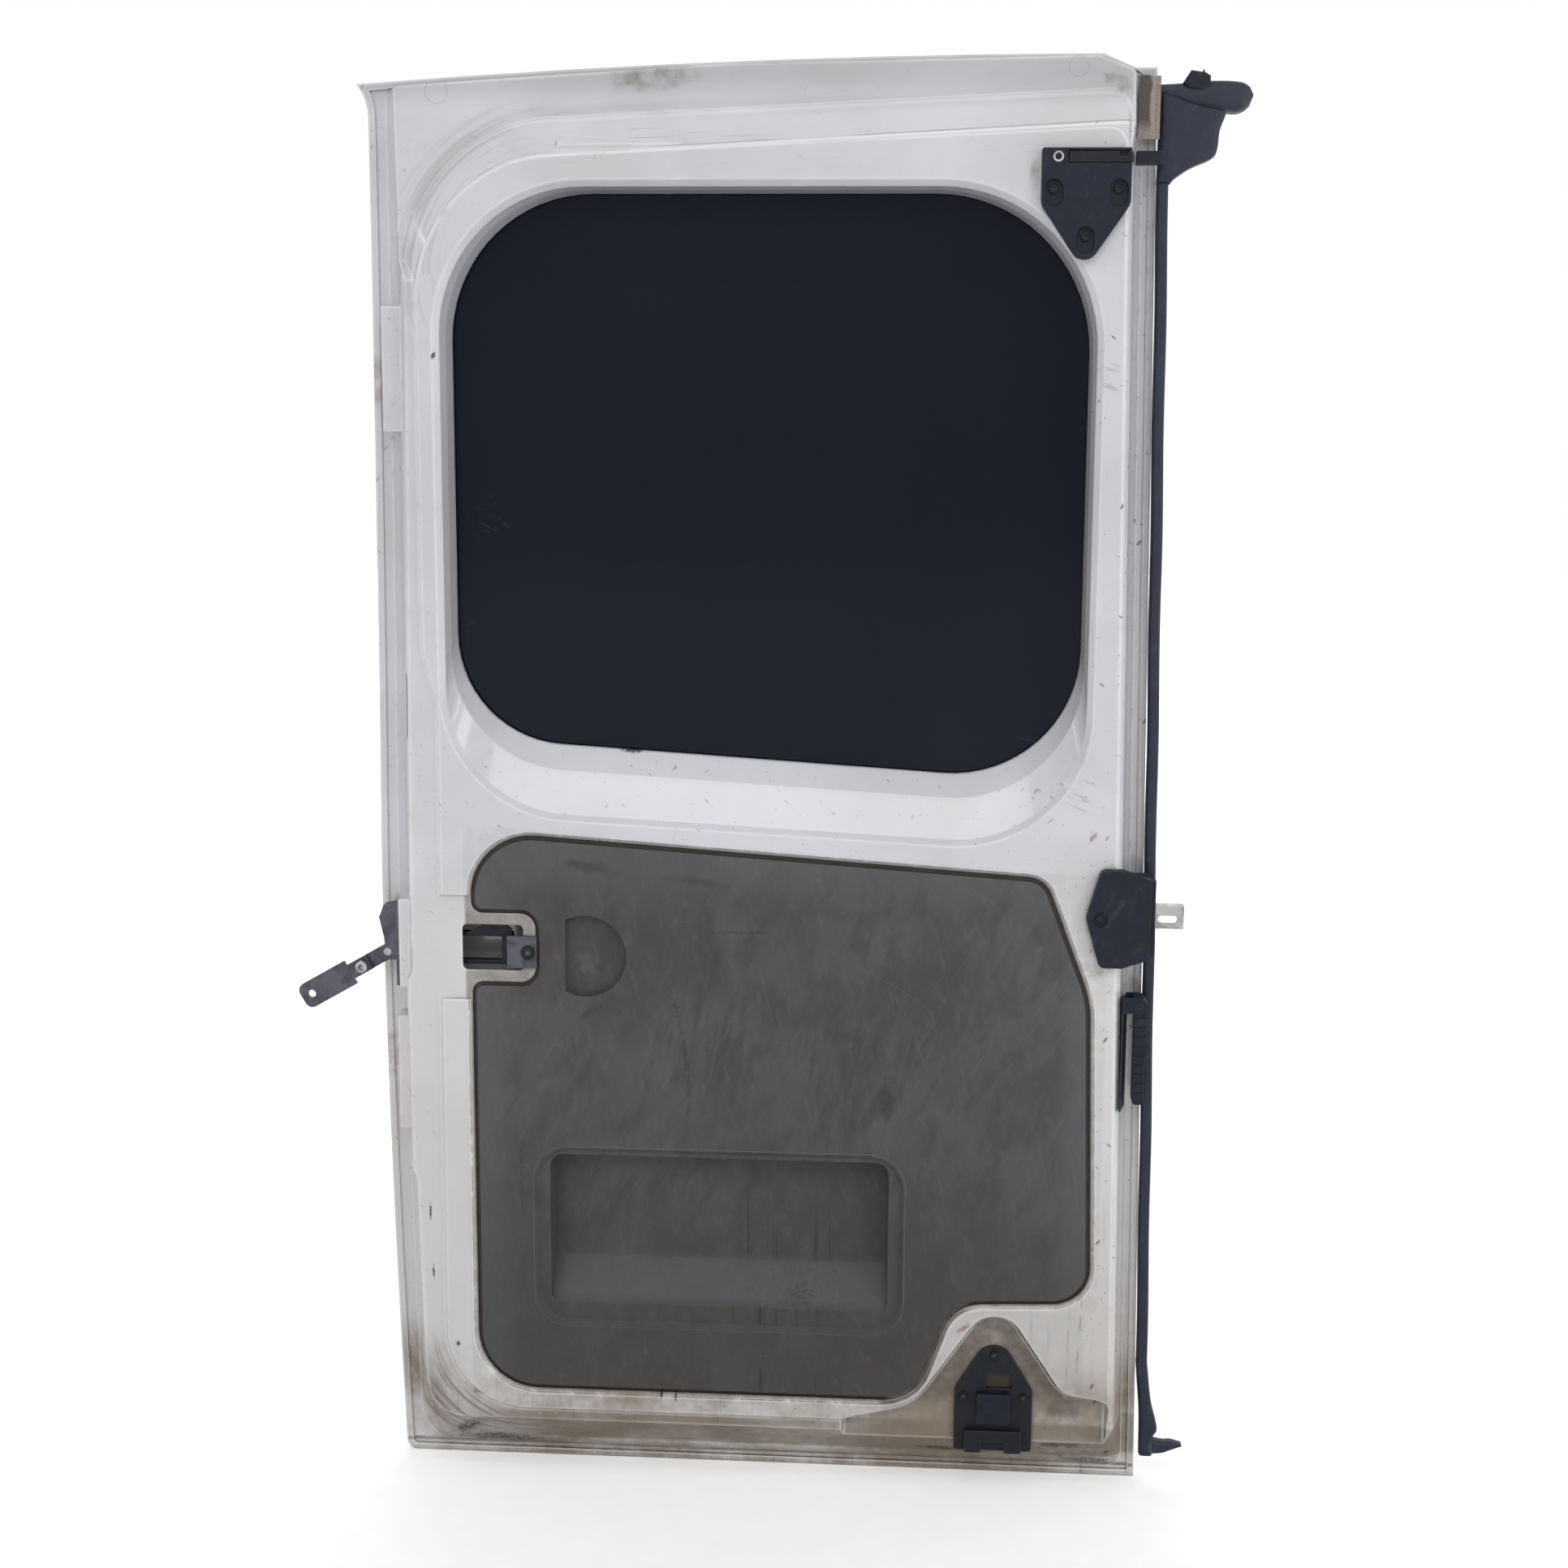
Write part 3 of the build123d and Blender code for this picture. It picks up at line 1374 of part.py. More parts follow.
with BuildPart() as check_link:
    with BuildSketch(arm_plane(link_far_y)):
        Circle(arm_neck / 2)
        Rectangle(arm_link_length, arm_neck, align=(Align.MIN, Align.CENTER))
        Circle(arm_pin_radius + arm_pin_play, mode=Mode.SUBTRACT)
        with Locations((arm_bush_place, 0)):
            Circle(arm_bush_bore + arm_pin_play, mode=Mode.SUBTRACT)
    extrude(amount=arm_thickness)
write(check_link, "check_link")

with BuildPart() as check_arm:
    with BuildSketch(arm_plane(link_near_y)) as arm_face:
        with Locations((arm_bush_place - arm_neck / 2, 0)):
            Rectangle(arm_length - arm_bush_place + arm_neck / 2, arm_neck, align=(Align.MIN, Align.CENTER))
        with Locations((arm_step, 0)):
            Rectangle(arm_length - arm_step, arm_width, align=(Align.MIN, Align.CENTER))
        fillet(arm_face.vertices().group_by(Axis.X)[-1], arm_end_radius)
        with Locations((arm_length - arm_hole_inset, 0)):
            Circle(arm_hole_radius, mode=Mode.SUBTRACT)
        with Locations((arm_bush_place, 0)):
            Circle(arm_bush_radius + arm_pin_play, mode=Mode.SUBTRACT)
    extrude(amount=arm_thickness)
write(check_arm, "check_arm")

with BuildPart() as check_bush:
    with BuildSketch(arm_plane(link_near_y)):
        with Locations((arm_bush_place, 0)):
            Circle(arm_bush_radius)
            Circle(arm_bush_bore, mode=Mode.SUBTRACT)
    extrude(amount=arm_thickness + arm_bush_height)
write(check_bush, "check_bush")

# Catch of the check behind its opening
catch_right = check_tongue_x - catch_inset
hole_right = check_hole_left_x + check_hole_width
with BuildPart() as check_catch:
    with Locations((catch_right, band_y, check_z - catch_drop)):
        size = (catch_right - hole_right + catch_leg, catch_thickness, catch_height)
        Box(*size, align=(Align.MAX, Align.MAX, Align.CENTER))
    with Locations((hole_right - catch_leg, band_y - catch_thickness, check_z - catch_drop)):
        size = (catch_thickness, catch_depth, catch_height)
        Box(*size, align=(Align.MIN, Align.MIN, Align.CENTER))
write(check_catch, "check_catch")

with BuildPart() as check_catch_bolt:
    with BuildSketch(cabin_plane(band_y - catch_thickness)):
        with Locations((catch_right - catch_bolt_inset, check_z - catch_drop)):
            Circle(catch_bolt_radius)
    extrude(amount=catch_bolt_height)
write(check_catch_bolt, "check_catch_bolt")

strap_y = band_y - catch_thickness + catch_depth
with BuildPart() as check_strap:
    with BuildSketch(cabin_plane(strap_y)):
        with Locations((hole_right - catch_leg, check_z - catch_drop)):
            Rectangle(strap_length, catch_height, align=(Align.MAX, Align.CENTER))
        with Locations((hole_right - catch_leg - strap_wall, check_z - catch_drop)):
            size = (strap_length - 2 * strap_wall, catch_height - strap_wall)
            Rectangle(*size, align=(Align.MAX, Align.CENTER), mode=Mode.SUBTRACT)
    extrude(amount=strap_depth)
write(check_strap, "check_strap")

hook_y = band_y + hook_sink
with BuildPart() as check_hook:
    hook_low = check_z - catch_drop + catch_height / 2
    hook_right = hole_right - catch_leg
    with BuildSketch(cabin_plane(hook_y)):
        with BuildLine():
            Polyline(
                (hook_right - hook_length, hook_low),
                (hook_right - hook_knee_place, hook_low + hook_knee_height),
                (hook_right - hook_crest_place, hook_low + hook_height),
                (hook_right + catch_thickness, hook_low + hook_root_height),
                (hook_right + catch_thickness, hook_low),
                close=True,
            )
        make_face()
    extrude(amount=hook_thickness)
write(check_hook, "check_hook")
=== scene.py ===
import json
import math

import bmesh
import bpy
from mathutils import Matrix, Vector

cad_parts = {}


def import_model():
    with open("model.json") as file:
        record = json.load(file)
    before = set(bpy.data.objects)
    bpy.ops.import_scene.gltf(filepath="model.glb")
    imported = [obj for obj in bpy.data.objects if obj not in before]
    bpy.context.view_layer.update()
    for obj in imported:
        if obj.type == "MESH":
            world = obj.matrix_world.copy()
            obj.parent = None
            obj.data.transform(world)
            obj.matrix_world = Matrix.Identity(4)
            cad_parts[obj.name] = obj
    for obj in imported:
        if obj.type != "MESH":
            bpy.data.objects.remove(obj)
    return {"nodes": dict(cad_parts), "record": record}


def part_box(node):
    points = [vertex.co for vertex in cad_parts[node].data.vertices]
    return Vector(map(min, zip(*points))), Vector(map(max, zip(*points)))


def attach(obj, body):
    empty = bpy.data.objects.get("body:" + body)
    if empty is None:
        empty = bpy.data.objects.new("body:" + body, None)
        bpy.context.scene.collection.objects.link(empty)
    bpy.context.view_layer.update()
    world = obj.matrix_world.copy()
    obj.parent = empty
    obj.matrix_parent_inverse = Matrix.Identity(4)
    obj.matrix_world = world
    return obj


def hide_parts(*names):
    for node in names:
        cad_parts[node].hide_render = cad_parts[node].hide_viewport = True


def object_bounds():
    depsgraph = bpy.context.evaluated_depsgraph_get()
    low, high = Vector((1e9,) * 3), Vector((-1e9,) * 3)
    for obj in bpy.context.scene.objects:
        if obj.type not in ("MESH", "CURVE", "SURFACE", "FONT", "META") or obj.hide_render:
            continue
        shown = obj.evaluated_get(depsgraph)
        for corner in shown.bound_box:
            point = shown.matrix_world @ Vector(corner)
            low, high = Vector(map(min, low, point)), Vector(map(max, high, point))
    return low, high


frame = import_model()
cad_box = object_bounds()
nodes = frame["nodes"]
scene = bpy.context.scene

# Camera of the photograph: place in metres, turns in degrees, lens and sensor in millimetres
CAMERA_PLACE = (0.5319, -2.0704, 0.6569)
CAMERA_YAW = 3.8
CAMERA_PITCH = 9.6
CAMERA_ROLL = 0.36
CAMERA_LENS = 48.45
SENSOR = 36.0


class Shader:
    """A node material for one finish. Places are in metres in the door's own frame."""

    def __init__(self, name):
        self.material = bpy.data.materials.new(name)
        self.material.use_nodes = True
        self.tree = self.material.node_tree
        self.bsdf = self.tree.nodes["Principled BSDF"]
        self.place = self.make("ShaderNodeTexCoord").outputs["Object"]
        split = self.make("ShaderNodeSeparateXYZ", Vector=self.place)
        self.x, self.y, self.z = split.outputs
        self.flat = self.make("ShaderNodeCombineXYZ", X=self.x, Z=self.z).outputs[0]
        self.clouds = {}
        self.shade = None

    def make(self, kind, settings=None, **inputs):
        node = self.tree.nodes.new(kind)
        for name, value in (settings or {}).items():
            setattr(node, name, value)
        for name, value in inputs.items():
            self.put(node.inputs[name.replace("_", " ")], value)
        return node

    def put(self, socket, value):
        if isinstance(value, bpy.types.NodeSocket):
            self.tree.links.new(value, socket)
        else:
            socket.default_value = value

    def math(self, operation, first, second=0.0, clamp=False):
        node = self.make("ShaderNodeMath", {"operation": operation, "use_clamp": clamp})
        self.put(node.inputs[0], first)
        self.put(node.inputs[1], second)
        return node.outputs[0]

    def mul(self, *values):
        """Product of values, so that a mask is 1 only where all of them are."""
        result = values[0]
        for value in values[1:]:
            result = self.math("MULTIPLY", result, value)
        return result

    def most(self, *values):
        """Greatest of the values, so that a mask is 1 where any of them is."""
        result = values[0]
        for value in values[1:]:
            result = self.math("MAXIMUM", result, value)
        return result

    def total(self, *values):
        """Sum of the values, no more than 1."""
        result = values[0]
        for value in values[1:]:
            result = self.math("ADD", result, value)
        return self.math("MINIMUM", result, 1.0)

    def lift(self, value, base, span):
        """Base where the value is 0, and base plus span where it is 1."""
        return self.math("ADD", base, self.mul(value, span))

    def step(self, value, low, high):
        """0 at low, 1 at high, smooth between them; low may be the greater."""
        node = self.make(
            "ShaderNodeMapRange",
            {"interpolation_type": "SMOOTHSTEP"},
            Value=value,
            From_Min=low,
            From_Max=high,
        )
        return node.outputs[0]

    def band(self, value, low, high, soft):
        """1 between low and high, falling to 0 over soft on both sides."""
        return self.mul(self.step(value, low - soft, low + soft), self.step(value, high + soft, high - soft))

    def mapped(self, place, at=(0, 0, 0), stretch=(1, 1, 1), turn=0.0):
        node = self.make(
            "ShaderNodeMapping",
            {"vector_type": "TEXTURE"},
            Vector=place,
            Location=at,
            Rotation=(0, math.radians(turn), 0),
            Scale=stretch,
        )
        return node.outputs[0]

    def noise(self, size, detail=3.0, stretch=(1, 1, 1), turn=0.0, warp=0.0, at=(0, 0, 0)):
        """Clouds about size metres across, drawn out by stretch along axes turned about Y."""
        key = (size, detail, stretch, turn, warp, at)
        if key not in self.clouds:
            node = self.make(
                "ShaderNodeTexNoise",
                Vector=self.mapped(self.place, at, stretch, turn),
                Scale=1.0 / size,
                Detail=detail,
                Distortion=warp,
            )
            self.clouds[key] = node.outputs[0]
        return self.clouds[key]

    def specks(self, size, share, stretch=(1, 1, 1), turn=0.0, at=(0, 0, 0)):
        """Small separate marks: one to a cell of the given size, of which only a share is kept."""
        place = self.mapped(self.place, at, stretch, turn)
        cells = self.make("ShaderNodeTexVoronoi", Vector=place, Scale=1.0 / size, Randomness=1.0)
        chance = self.make("ShaderNodeSeparateXYZ", Vector=cells.outputs["Color"]).outputs[0]
        kept = self.step(chance, share, share * 0.7)
        return self.mul(kept, self.step(cells.outputs["Distance"], 0.34, 0.16))

    def reach(self, place):
        return self.make("ShaderNodeVectorMath", {"operation": "LENGTH"}, Vector=place).outputs["Value"]

    def spot(self, x, z, half_width, half_height, turn=0.0, ragged=0.5, size=0.01):
        """A stain round a place on the door's face, with a ragged edge."""
        place = self.mapped(self.flat, (x, 0, z), (half_width, 1, half_height), turn)
        edge = self.mul(self.math("SUBTRACT", self.noise(size, 4.0), 0.5), ragged * 2)
        return self.step(self.math("ADD", self.reach(place), edge), 1.0, 0.35)

    def spots(self, ragged, size, *places):
        """Several stains at once, each given as x, z, half width, half height and turn."""
        return self.most(*(self.spot(*place, ragged, size) for place in places))

    def ring(self, x, z, radius, width):
        """A thin ring round a place on the door's face."""
        reach = self.reach(self.mapped(self.flat, (x, 0, z)))
        return self.band(reach, radius - width / 2, radius + width / 2, width / 2)

    def corner(self, x, z, side_z, slope=0.0):
        """Distance from a rounded corner's centre, measured only past it: left of x, and above or below z."""
        out_x = self.math("MAXIMUM", self.math("SUBTRACT", x, self.x), 0.0)
        tilt = self.mul(self.math("MAXIMUM", self.math("SUBTRACT", self.x, x), 0.0), slope)
        rise = self.mul(self.math("SUBTRACT", self.math("SUBTRACT", self.z, tilt), z), side_z)
        out_z = self.math("MAXIMUM", rise, 0.0)
        return self.reach(self.make("ShaderNodeCombineXYZ", X=out_x, Z=out_z).outputs[0])

    def swirl(self, x, z, width, turn):
        """Streaks that curve round a place on the door's face, width metres wide and turn radians long."""
        place = self.mapped(self.flat, (x, 0, z))
        split = self.make("ShaderNodeSeparateXYZ", Vector=place).outputs
        angle = self.math("ARCTAN2", split[2], split[0])
        across = self.math("DIVIDE", self.reach(place), width)
        along = self.math("DIVIDE", angle, turn)
        where = self.make("ShaderNodeCombineXYZ", X=across, Y=along).outputs[0]
        return self.make("ShaderNodeTexNoise", Vector=where, Scale=1.0, Detail=4.0).outputs[0]

    def mix(self, share, first, second):
        node = self.make("ShaderNodeMix", {"data_type": "RGBA"})
        self.put(node.inputs[0], share)
        self.put(node.inputs[6], first)
        self.put(node.inputs[7], second)
        return node.outputs[2]

    def ground(self, share, first, second):
        """Starts the shade with two tones, mixed by a share."""
        self.shade = self.mix(share, colour(*first), colour(*second))

    def lay(self, tone, *masks):
        """Lays a tone over the shade so far, as strongly as the product of the masks."""
        self.shade = self.mix(self.mul(*masks), self.shade, colour(*tone))

    def crevice(self, reach, power=1.0):
        """1 deep in grooves and corners, 0 on open faces."""
        node = self.make("ShaderNodeAmbientOcclusion", {"samples": 8}, Distance=reach)
        return self.math("POWER", self.math("SUBTRACT", 1.0, node.outputs["AO"], True), power)

    def edge_wear_and_highlight(self, reach):
        """1 on outer edges and corners, 0 on open faces."""
        node = self.make("ShaderNodeAmbientOcclusion", {"samples": 8, "inside": True}, Distance=reach)
        return self.step(node.outputs["AO"], 0.75, 0.35)

    def rounded(self, radius):
        """Normal that rounds sharp edges to a radius."""
        return self.make("ShaderNodeBevel", {"samples": 6}, Radius=radius).outputs[0]

    def fold(self, bevel):
        """1 on folds of the sheet, where the rounded normal leaves the face's own, 0 on open faces."""
        node = self.make("ShaderNodeVectorMath", {"operation": "DOT_PRODUCT"})
        self.put(node.inputs[0], bevel)
        self.put(node.inputs[1], self.make("ShaderNodeNewGeometry").outputs["Normal"])
        return self.step(node.outputs["Value"], 0.996, 0.93)

    def bump(self, height, distance, strength=1.0, normal=None):
        node = self.make("ShaderNodeBump", Height=height, Distance=distance, Strength=strength)
        if normal is not None:
            self.put(node.inputs["Normal"], normal)
        return node.outputs[0]

    def finish(self, **inputs):
        """Sets the inputs of the surface and gives the material back."""
        for name, value in inputs.items():
            self.put(self.bsdf.inputs[name.replace("_", " ")], value)
        return self.material


def colour(red, green, blue):
    """A colour as it shows on a screen, 0 to 255, turned to the linear values of a shader."""
    def linear(value):
        value /= 255
        return value / 12.92 if value <= 0.04045 else ((value + 0.055) / 1.055) ** 2.4

    return (linear(red), linear(green), linear(blue), 1.0)


# Stains on the paint: x, z, half width and half height in metres, and turn in degrees
FOOT_GRIME = [
    (0.095, -0.409, 0.055, 0.010, 0.0),
    (0.066, -0.388, 0.030, 0.010, -38.0),
    (0.690, -0.385, 0.030, 0.006, 0.0),
    (0.715, -0.412, 0.030, 0.008, 0.0),
    (0.560, -0.398, 0.030, 0.004, 3.0),
]
SMEARS = [
    (0.262, 0.982, 0.060, 0.016, -3.0),
    (0.702, 0.976, 0.018, 0.010, 20.0),
    (0.627, 0.891, 0.006, 0.020, 0.0),
    (0.705, 0.129, 0.014, 0.012, 0.0),
    (0.700, -0.402, 0.045, 0.016, 0.0),
]
SCRAPES = [(0.704, 0.705, 0.020, 0.026, 0.0), (0.692, 0.300, 0.034, 0.024, 0.0)]
SCUFFS = [
    (0.032, -0.145, 0.0016, 0.012, 2.0),
    (0.034, -0.211, 0.0014, 0.010, -3.0),
    (0.059, -0.288, 0.003, 0.004, 0.0),
    (0.054, 0.723, 0.0022, 0.005, 20.0),
    (0.735, -0.395, 0.003, 0.003, 0.0),
    (0.272, -0.336, 0.0018, 0.006, 0.0),
    (0.287, -0.338, 0.0014, 0.007, 0.0),
    (0.489, -0.326, 0.0018, 0.006, 0.0),
    (0.240, 0.336, 0.016, 0.0045, 3.0),
]
TRICKLES = [(0.7015, -0.255, 0.0018, 0.080, 2.7), (0.690, -0.270, 0.0013, 0.055, 1.0)]
RUST = [(0.584, -0.252, 0.010, 0.0035, -35.0), (0.700, 0.262, 0.008, 0.003, -50.0)]
YELLOW_DABS = [(0.144, -0.364, 0.004, 0.0015, 0.0), (0.160, -0.363, 0.003, 0.0014, 0.0)]

# Stains on the trim and scratches on the glass, given in the same way
TRIM_STROKES = [(0.475, 0.015, 0.085, 0.110, 0.0), (0.330, 0.045, 0.090, 0.090, 20.0)]
TRIM_PATCHES = [
    (0.619, 0.097, 0.030, 0.022, 30.0),
    (0.205, 0.222, 0.030, 0.008, 8.0),
    (0.310, 0.210, 0.040, 0.007, 6.0),
    (0.205, 0.075, 0.030, 0.006, -40.0),
    (0.500, -0.010, 0.010, 0.030, 0.0),
]
TRIM_SMEARS = [(0.355, 0.158, 0.042, 0.0020, -1.0), (0.128, -0.104, 0.0012, 0.055, 0.0)]
GLASS_SCRATCHES = [(0.076, 0.461, 0.012, 0.0010, -28.0), (0.640, 0.350, 0.020, 0.0010, 12.0)]

# Rounded corners of the pressing: centre x and z, 1 for above or -1 for below, and the slope beside it
HEADER_BEND = (0.174, 0.799, 1.0, 0.034)
WINDOW_CREST = (0.176, 0.771, 1.0, 0.053)
HINGE_HEEL = (0.135, -0.275, -1.0)
# Point of the lower latch's pocket: x and z
POCKET_POINT = (0.616, -0.2306)
# Bare primer on the hinge wall: lowest and highest z
PRIMED_HEIGHTS = [(0.675, 0.724), (-0.010, 0.032)]
# Stamped rings: x, z, radius and width of the line
STAMPED_RINGS = [(0.059, 0.970, 0.011, 0.0012), (0.666, 0.990, 0.009, 0.0012)]


class PaintedSheet(Shader):
    """White paint of both pressings. Each method lays one kind of wear or of painted light and shade, from
    the first coat upwards.
    """

    def __init__(self):
        super().__init__("white_paint")
        self.inside = self.step(self.y, 0.027, 0.023)
        self.low = self.step(self.z, -0.27, -0.36)
        self.cloudy = self.noise(0.16, 5.0, warp=0.6)
        self.fine = self.noise(0.012, 5.0)
        self.broken = self.noise(0.02, 4.0, (6, 1, 1))
        self.bevel = self.rounded(0.0040)
        self.ground(self.step(self.cloudy, 0.35, 0.7), (207, 208, 214), (199, 199, 203))
        self.lay((209, 206, 201), self.step(self.z, 0.25, 0.05), 0.6)

    def header_film_and_shade(self):
        """Grey film on the top of the header, which also stands for painted shade there."""
        streaky = self.lift(self.noise(0.06, 5.0, (3, 1, 1)), 0.25, 0.5)
        # Painted shade and a grey film on the header top
        self.lay((146, 145, 149), self.step(self.z, 0.950, 0.985), streaky, self.inside)

    def dust(self):
        """Dust along the bottom, less of it outside, and up the free stile."""
        self.free = self.mul(self.step(self.x, 0.50, 0.66), self.step(self.z, 0.05, -0.30))
        patchy = self.step(self.lift(self.fine, self.cloudy, 0.35), 0.40, 0.85)
        settled = self.mul(self.low, self.lift(self.inside, 0.30, 0.65))
        self.dusty = self.mul(self.total(settled, self.mul(self.free, 0.14), 0.05), patchy)
        self.lay((147, 135, 121), self.dusty)

    def bottom_slope_shade(self):
        """Painted shade, drawn out like grime, on the slope under the raised frame, which faces down."""
        drawn = self.step(self.noise(0.05, 5.0, (3, 1, 1)), 0.3, 0.7)
        height = self.band(self.z, -0.404, -0.360, 0.003)
        self.slope = self.mul(height, self.step(self.x, 0.06, 0.16), self.inside)
        # Painted shade on the slope under the raised frame
        self.lay((124, 112, 97), self.slope, self.lift(drawn, 0.45, 0.4))

    def latch_pocket_dust_and_shade(self):
        """Pocket of the lower latch: dusty floor, painted shade with some grime on its sloping walls, and a
        dark band of grime and painted shade along its point and its arm.
        """
        sunk = self.step(self.y, -0.022, -0.018)
        bottom = self.mul(self.spot(0.622, -0.335, 0.105, 0.115, 0.0, 0.25), sunk, self.inside)
        self.lay((138, 127, 113), bottom, self.lift(self.fine, 0.55, 0.5))
        area = self.mul(self.band(self.x, 0.500, 0.706, 0.004), self.band(self.z, -0.352, -0.232, 0.004))
        # Painted shade, brownish like grime, on the pocket's sloping walls
        self.shaded_pocket_wall = self.mul(area, self.band(self.y, -0.0236, -0.0130, 0.0008))
        self.lay((84, 76, 68), self.shaded_pocket_wall, self.lift(self.fine, 0.45, 0.7))
        # Dark band of grime and painted shade at the foot of the pocket's point and its arm
        point_x, point_z = POCKET_POINT
        aside = self.mul(self.math("ABSOLUTE", self.math("SUBTRACT", self.x, point_x)), 0.82)
        outwards = self.lift(self.math("SUBTRACT", self.z, point_z), aside, 0.57)
        rim = self.mul(self.step(outwards, -0.040, -0.008), self.step(outwards, 0.007, 0.001))
        sides = self.mul(rim, self.step(self.z, -0.350, -0.325))
        arm = self.mul(self.band(self.x, 0.672, 0.706, 0.006), self.band(self.z, -0.350, -0.330, 0.005))
        self.contour_grime_and_shade = self.mul(self.most(sides, arm), self.step(self.y, -0.0225, -0.0205), self.inside)
        self.lay((90, 82, 74), self.contour_grime_and_shade, self.lift(self.fine, 0.30, 0.6))

    def free_edge_shade_and_streaks(self):
        """Painted shade with a dull film on the wall of the free edge, and streaks that run down the free
        stile and the bottom.
        """
        # Bluish grey on the wall of the free edge: painted shade with a dull film
        flank = self.mul(
            self.step(self.x, 0.700, 0.712),
            self.band(self.y, -0.0215, 0.0215, 0.001),
            self.band(self.z, -0.05, 0.90, 0.05),
        )
        self.lay((142, 146, 155), flank, self.lift(self.fine, 0.35, 0.4))
        streaks = self.step(self.noise(0.006, 4.0, (1, 1, 18)), 0.56, 0.76)
        runs = self.total(self.mul(self.low, 0.35), self.mul(self.free, 0.25))
        self.lay((112, 99, 86), streaks, runs, self.inside)

    def header_bend_shade_and_smear(self):
        """Grey along the header's bend: painted shade of the concave bend, smeared, strongest round its hinge
        corner, with curved strokes there.
        """
        self.high = self.mul(self.step(self.z, 0.70, 0.82), self.inside)
        bend = self.corner(*HEADER_BEND)
        smudged = self.step(self.noise(0.03, 5.0, (4, 1, 1)), 0.25, 0.6)
        to_hinge = self.lift(self.step(self.x, 0.45, 0.10), 0.26, 0.20)
        # Painted shade along the concave bend of the header, smudged like a smear
        self.lay((138, 135, 136), self.band(bend, 0.143, 0.156, 0.007), smudged, to_hinge, self.high)
        strokes = self.step(self.swirl(*HEADER_BEND[:2], 0.004, 0.9), 0.45, 0.7)
        corner = self.mul(self.band(bend, 0.120, 0.165, 0.02), self.step(self.x, 0.20, 0.08), self.high)
        self.lay((146, 142, 142), corner, strokes, 0.45)

    def crest_lines(self):
        """Painted highlight and thin brown line along the crest over the window, and scratches above them."""
        crest = self.corner(*WINDOW_CREST)
        # Painted highlight along the crest, on the window's side of the brown line
        painted_crest_highlight = self.mul(self.band(crest, 0.1372, 0.1400, 0.0008), self.step(self.broken, 0.25, 0.45))
        self.lay((232, 233, 236), painted_crest_highlight, self.high, 0.65)
        line = self.mul(self.band(crest, 0.1404, 0.1416, 0.0006), self.step(self.broken, 0.40, 0.6))
        self.lay((128, 112, 98), line, self.high, 0.60)
        scratches = self.step(self.noise(0.0016, 3.0, (40, 1, 1), -2.0), 0.60, 0.70)
        some = self.step(self.noise(0.05, 3.0, (3, 1, 1)), 0.45, 0.7)
        self.lay((150, 146, 144), scratches, self.band(self.z, 0.900, 0.990, 0.012), some, self.inside, 0.40)

    def hinge_corner(self):
        """Curved strokes of grime at the bottom hinge corner, near black at the foot and in the seam."""
        strokes = self.step(self.swirl(*HINGE_HEEL[:2], 0.0035, 0.7), 0.44, 0.66)
        near = self.mul(self.step(self.x, 0.20, 0.07), self.step(self.z, -0.26, -0.33))
        self.around = self.mul(self.band(self.corner(*HINGE_HEEL), 0.088, 0.150, 0.012), near, self.inside)
        self.lay((112, 101, 88), self.around, self.lift(strokes, 0.25, 0.55))
        self.foot = self.mul(self.spots(0.9, 0.012, *FOOT_GRIME), self.inside)
        self.lay((46, 40, 36), self.foot, self.step(self.noise(0.0035, 4.0), 0.20, 0.62), 0.8)
        seam = self.mul(self.band(self.z, -0.4195, -0.4160, 0.0012), self.inside)
        self.lay((52, 46, 42), seam, self.step(self.noise(0.02, 4.0, (4, 1, 1)), 0.35, 0.55), 0.75)

    def trim_recess_grime_and_shade(self):
        """Grime and painted shade in the recess of the trim: on its lip, its wall and its floor."""
        upper_edge = self.lift(self.math("SUBTRACT", self.x, 0.085), self.z, 0.065)
        latch_side = self.mul(self.step(self.x, 0.500, 0.512), self.step(self.z, -0.226, -0.236))
        recess = self.mul(
            self.band(self.x, 0.074, 0.718, 0.002),
            self.step(self.z, -0.346, -0.342),
            self.step(upper_edge, 0.264, 0.261),
            self.lift(latch_side, 1.0, -1.0),
            self.step(self.y, -0.010, -0.014),
        )
        lip = self.mul(self.band(self.y, -0.0238, -0.0226, 0.0004), self.step(self.fine, 0.25, 0.55))
        self.lay((100, 90, 81), recess, lip, 0.70)
        self.wall = self.mul(recess, self.step(self.y, -0.0226, -0.0212))
        self.lay((108, 98, 88), self.wall, self.lift(self.fine, 0.35, 0.5))
        # Near black on the floor of the recess: painted shade with grime
        self.lay((58, 52, 48), recess, self.step(self.y, -0.0200, -0.0186), 0.85)

    def fold_highlights_and_groove_shade(self):
        """Painted highlights on the folds of the sheet, and grime with painted shade in the grooves and in a
        wider ring round them; the reveal stays clean.
        """
        # Painted highlight on the folds of the sheet
        folds = self.mul(self.fold(self.bevel), self.step(self.broken, 0.20, 0.50))
        self.lay((250, 250, 249), folds, self.inside, 0.65)
        dirty = self.most(self.band(self.x, 0.060, 0.720, 0.006), self.step(self.z, -0.28, -0.34))
        reveal = self.mul(self.band(self.x, 0.025, 0.725, 0.005), self.band(self.z, 0.275, 0.925, 0.005))
        kept = self.mul(self.lift(dirty, 0.3, 0.7), self.lift(reveal, 1.0, -0.85))
        # Wide ring of grime and painted shade round the grooves
        halo_grime_and_shade = self.mul(self.step(self.crevice(0.030), 0.25, 0.80), self.lift(self.fine, 0.5, 0.5))
        self.lay((150, 138, 126), halo_grime_and_shade, self.inside, kept, 0.30)
        self.trim_recess_grime_and_shade()
